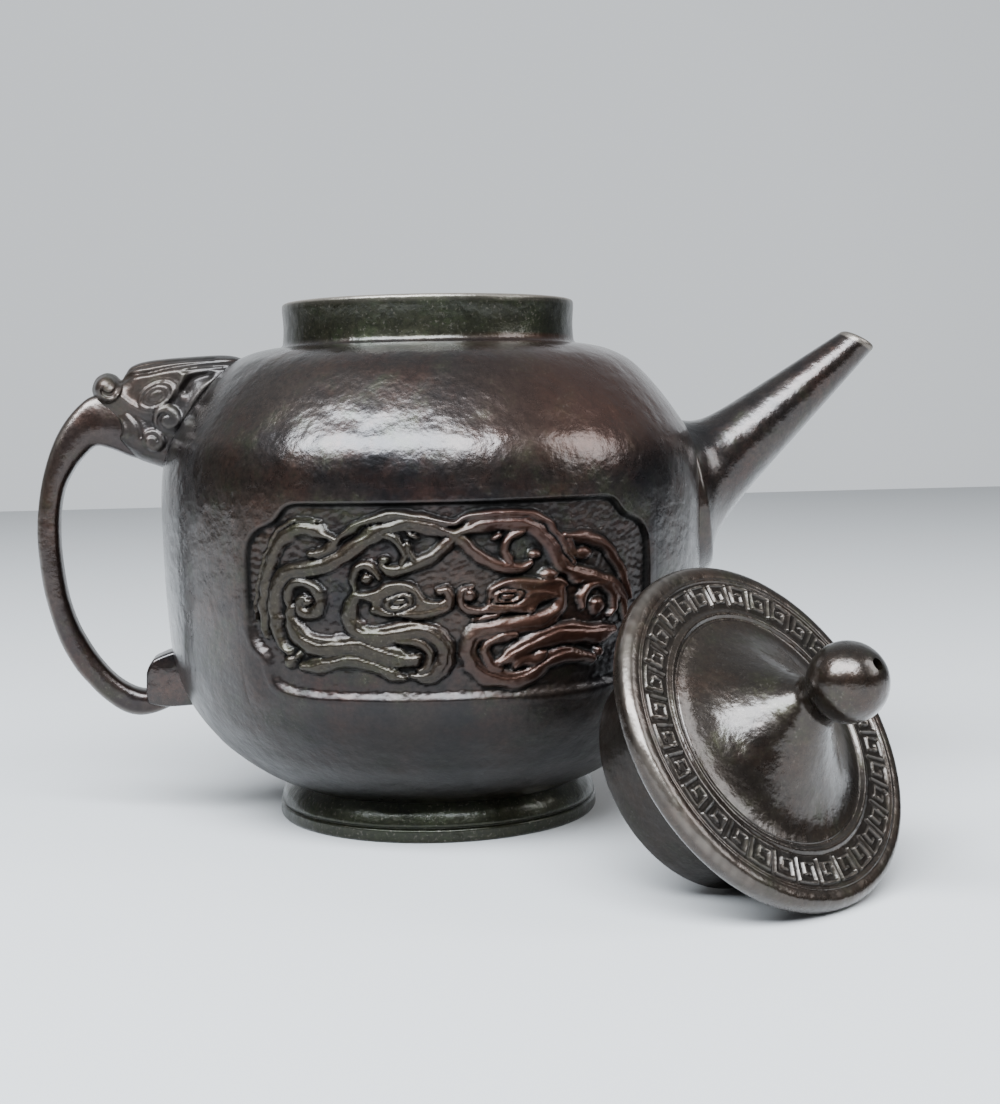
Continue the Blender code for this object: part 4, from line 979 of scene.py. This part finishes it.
class EwerColours(bpy.types.PropertyGroup):
    """Colours of the patina, and the near black of painted shade and of the lower belly's darkening."""
    dark: hex_colour("Dark", "of the darkest patina", "#191618")
    brown: hex_colour("Brown", "of the brown patina", "#332923")
    green: hex_colour("Green", "of the green patina", "#26291a")
    red: hex_colour("Red", "of the red-brown patina", "#452619")
    # Near black of the painted shade in hollows, under the frame's top ledge and under the lid, and of the
    # lower belly's darkening
    dirt: hex_colour("Shade_and_darkening", "of dirt in the hollows", "#0b0a09")
    worn: hex_colour("Worn", "where the patina is rubbed", "#8d857c")


class EwerSizes(bpy.types.PropertyGroup):
    """Sizes that can be changed without fitting anything else."""
    wall: bpy.props.FloatProperty(name="Wall", description="Thickness of the cast wall", default=2.5 * MM,
                                  min=1.5 * MM, max=3.0 * MM, unit="LENGTH")


class EWER_OT_body(bpy.types.Operator):
    """Builds the body with its neck and foot"""
    bl_idname = "ewer.body"
    bl_label = "Body"

    def execute(self, context):
        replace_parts(build_body(context.scene.ewer_sizes.wall / MM), "ewer")
        return {"FINISHED"}


class EWER_OT_panels(bpy.types.Operator):
    """Builds the two sunk panels with their dragons"""
    bl_idname = "ewer.panels"
    bl_label = "Panels"

    def execute(self, context):
        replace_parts(build_panel("front_panel", SLAB_STEP, 0.0, False), "ewer")
        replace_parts(build_panel("back_panel", BACK_STEP, math.pi, True), "ewer")
        return {"FINISHED"}


class EWER_OT_spout(bpy.types.Operator):
    """Builds the spout"""
    bl_idname = "ewer.spout"
    bl_label = "Spout"

    def execute(self, context):
        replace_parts(build_spout(), "ewer")
        return {"FINISHED"}


class EWER_OT_handle(bpy.types.Operator):
    """Builds the handle: strap, block and beast head"""
    bl_idname = "ewer.handle"
    bl_label = "Handle"

    def execute(self, context):
        for piece in (build_strap(), build_block(), build_head()):
            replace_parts(piece, "ewer")
        return {"FINISHED"}


class EWER_OT_lid(bpy.types.Operator):
    """Builds the lid where it lies"""
    bl_idname = "ewer.lid"
    bl_label = "Lid"

    def execute(self, context):
        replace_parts(build_lid(), "lid")
        return {"FINISHED"}


def area_light(name, place, aim, size, power, colour):
    """A soft rectangular light, placed in ewer coordinates but in metres."""
    data = bpy.data.lights.new(name, "AREA")
    data.shape = "RECTANGLE"
    data.size, data.size_y = size
    data.energy = power
    data.color = colour
    lamp = bpy.data.objects.new(name, data)
    lamp.location = Vector(AXIS) + Vector(place)
    lamp.rotation_euler = (Vector(aim) - Vector(place)).to_track_quat("-Z", "Y").to_euler()
    bpy.context.scene.collection.objects.link(lamp)
    return lamp


def soft_room():
    """A pale room: bright behind the ewer and overhead, dim on the side the ewer faces."""
    world = bpy.data.worlds.new("soft_room")
    world.use_nodes = True
    tree = world.node_tree
    sky = tree.nodes["Background"]
    heading = add_node(tree, "ShaderNodeTexCoord").outputs["Generated"]
    split = add_node(tree, "ShaderNodeSeparateXYZ", links={"Vector": heading})
    glows = []
    for axis, low, high, glow in (("Y", 0.45, 0.95, ROOM_BEHIND), ("Z", 0.2, 0.8, ROOM_ABOVE)):
        limits = {"From Min": low, "From Max": high, "To Max": glow}
        ranged = add_node(tree, "ShaderNodeMapRange", inputs=limits, links={"Value": split.outputs[axis]})
        glows.append(ranged.outputs[0])
    both = arithmetic(tree, "MAXIMUM", {}, {0: glows[0], 1: glows[1]})
    total = arithmetic(tree, "ADD", {1: ROOM_DIM}, {0: both})
    sky.inputs["Color"].default_value = (*linear("#e4e9ee"), 1.0)
    tree.links.new(total, sky.inputs["Strength"])
    return world


class EWER_OT_stage(bpy.types.Operator):
    """Builds the floor, the lights and the camera"""
    bl_idname = "ewer.stage"
    bl_label = "Stage"

    def execute(self, context):
        scene = context.scene
        half = 0.5 * FLOOR_SIZE
        mesh = bpy.data.meshes.new("floor")
        mesh.from_pydata([(-half, -half, 0.0), (half, -half, 0.0), (half, half, 0.0), (-half, half, 0.0)], [],
                         [(0, 1, 2, 3)])
        floor = bpy.data.objects.new("floor", mesh)
        scene.collection.objects.link(floor)
        paper = bpy.data.materials.new("matt_white_paper")
        paper.use_nodes = True
        shade = paper.node_tree.nodes["Principled BSDF"]
        shade.inputs["Base Color"].default_value = (*linear("#bdbdbd"), 1.0)
        shade.inputs["Roughness"].default_value = 0.9
        mesh.materials.append(paper)
        scene.world = soft_room()
        lights = [
            area_light("window", (-0.35, -0.75, 1.05), (0.0, 0.0, 0.08), (1.7, 0.6), 100.0,
                       (0.86, 0.93, 1.0)),
            area_light("side_window", (0.85, -0.35, 0.6), (0.0, 0.0, 0.06), (0.4, 0.5), 5.0,
                       (0.97, 0.98, 1.0)),
        ]
        camera_data = bpy.data.cameras.new("photo_view")
        camera_data.sensor_width = 36.0
        camera_data.sensor_height = 36.0
        camera_data.sensor_fit = "VERTICAL"
        camera_data.lens = CAMERA_LENS
        camera_data.clip_start = 0.01
        camera = bpy.data.objects.new("photo_view", camera_data)
        scene.collection.objects.link(camera)
        ahead = Vector((-math.sin(CAMERA_YAW), math.cos(CAMERA_YAW), 0.0))
        right = Vector((math.cos(CAMERA_YAW), math.sin(CAMERA_YAW), 0.0))
        level = Vector((0.0, 0.0, 1.0))
        forward = ahead * math.cos(CAMERA_PITCH) - level * math.sin(CAMERA_PITCH)
        up = ahead * math.sin(CAMERA_PITCH) + level * math.cos(CAMERA_PITCH)
        side = right * math.cos(CAMERA_ROLL) + up * math.sin(CAMERA_ROLL)
        above = up * math.cos(CAMERA_ROLL) - right * math.sin(CAMERA_ROLL)
        camera.matrix_world = Matrix.Translation(Vector(AXIS) + Vector(CAMERA_PLACE) * MM) @ Matrix(
            (side, above, -forward)).transposed().to_4x4()
        scene.camera = camera
        return {"FINISHED"}


class EWER_PT_panel(bpy.types.Panel):
    """Lists the ewer's sizes, colours and steps"""
    bl_idname = "EWER_PT_panel"
    bl_label = "Bronze Ewer"
    bl_space_type = "VIEW_3D"
    bl_region_type = "UI"
    bl_category = "Ewer"

    def draw(self, context):
        layout = self.layout
        layout.prop(context.scene.ewer_sizes, "wall")
        for key in ("dark", "brown", "green", "red", "worn", "dirt"):
            layout.prop(context.scene.ewer_colours, key)
        for step in STEPS:
            layout.operator(step.bl_idname)


STEPS = (EWER_OT_body, EWER_OT_panels, EWER_OT_spout, EWER_OT_handle, EWER_OT_lid, EWER_OT_stage)
CLASSES = (EwerColours, EwerSizes, *STEPS, EWER_PT_panel)


def register():
    for item in CLASSES:
        bpy.utils.register_class(item)
    bpy.types.Scene.ewer_colours = bpy.props.PointerProperty(type=EwerColours)
    bpy.types.Scene.ewer_sizes = bpy.props.PointerProperty(type=EwerSizes)


def unregister():
    del bpy.types.Scene.ewer_sizes
    del bpy.types.Scene.ewer_colours
    for item in reversed(CLASSES):
        bpy.utils.unregister_class(item)


def main():
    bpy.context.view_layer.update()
    register()
    for step in STEPS:
        space, name = step.bl_idname.split(".")
        getattr(getattr(bpy.ops, space), name)()


if __name__ == "__main__":
    main()
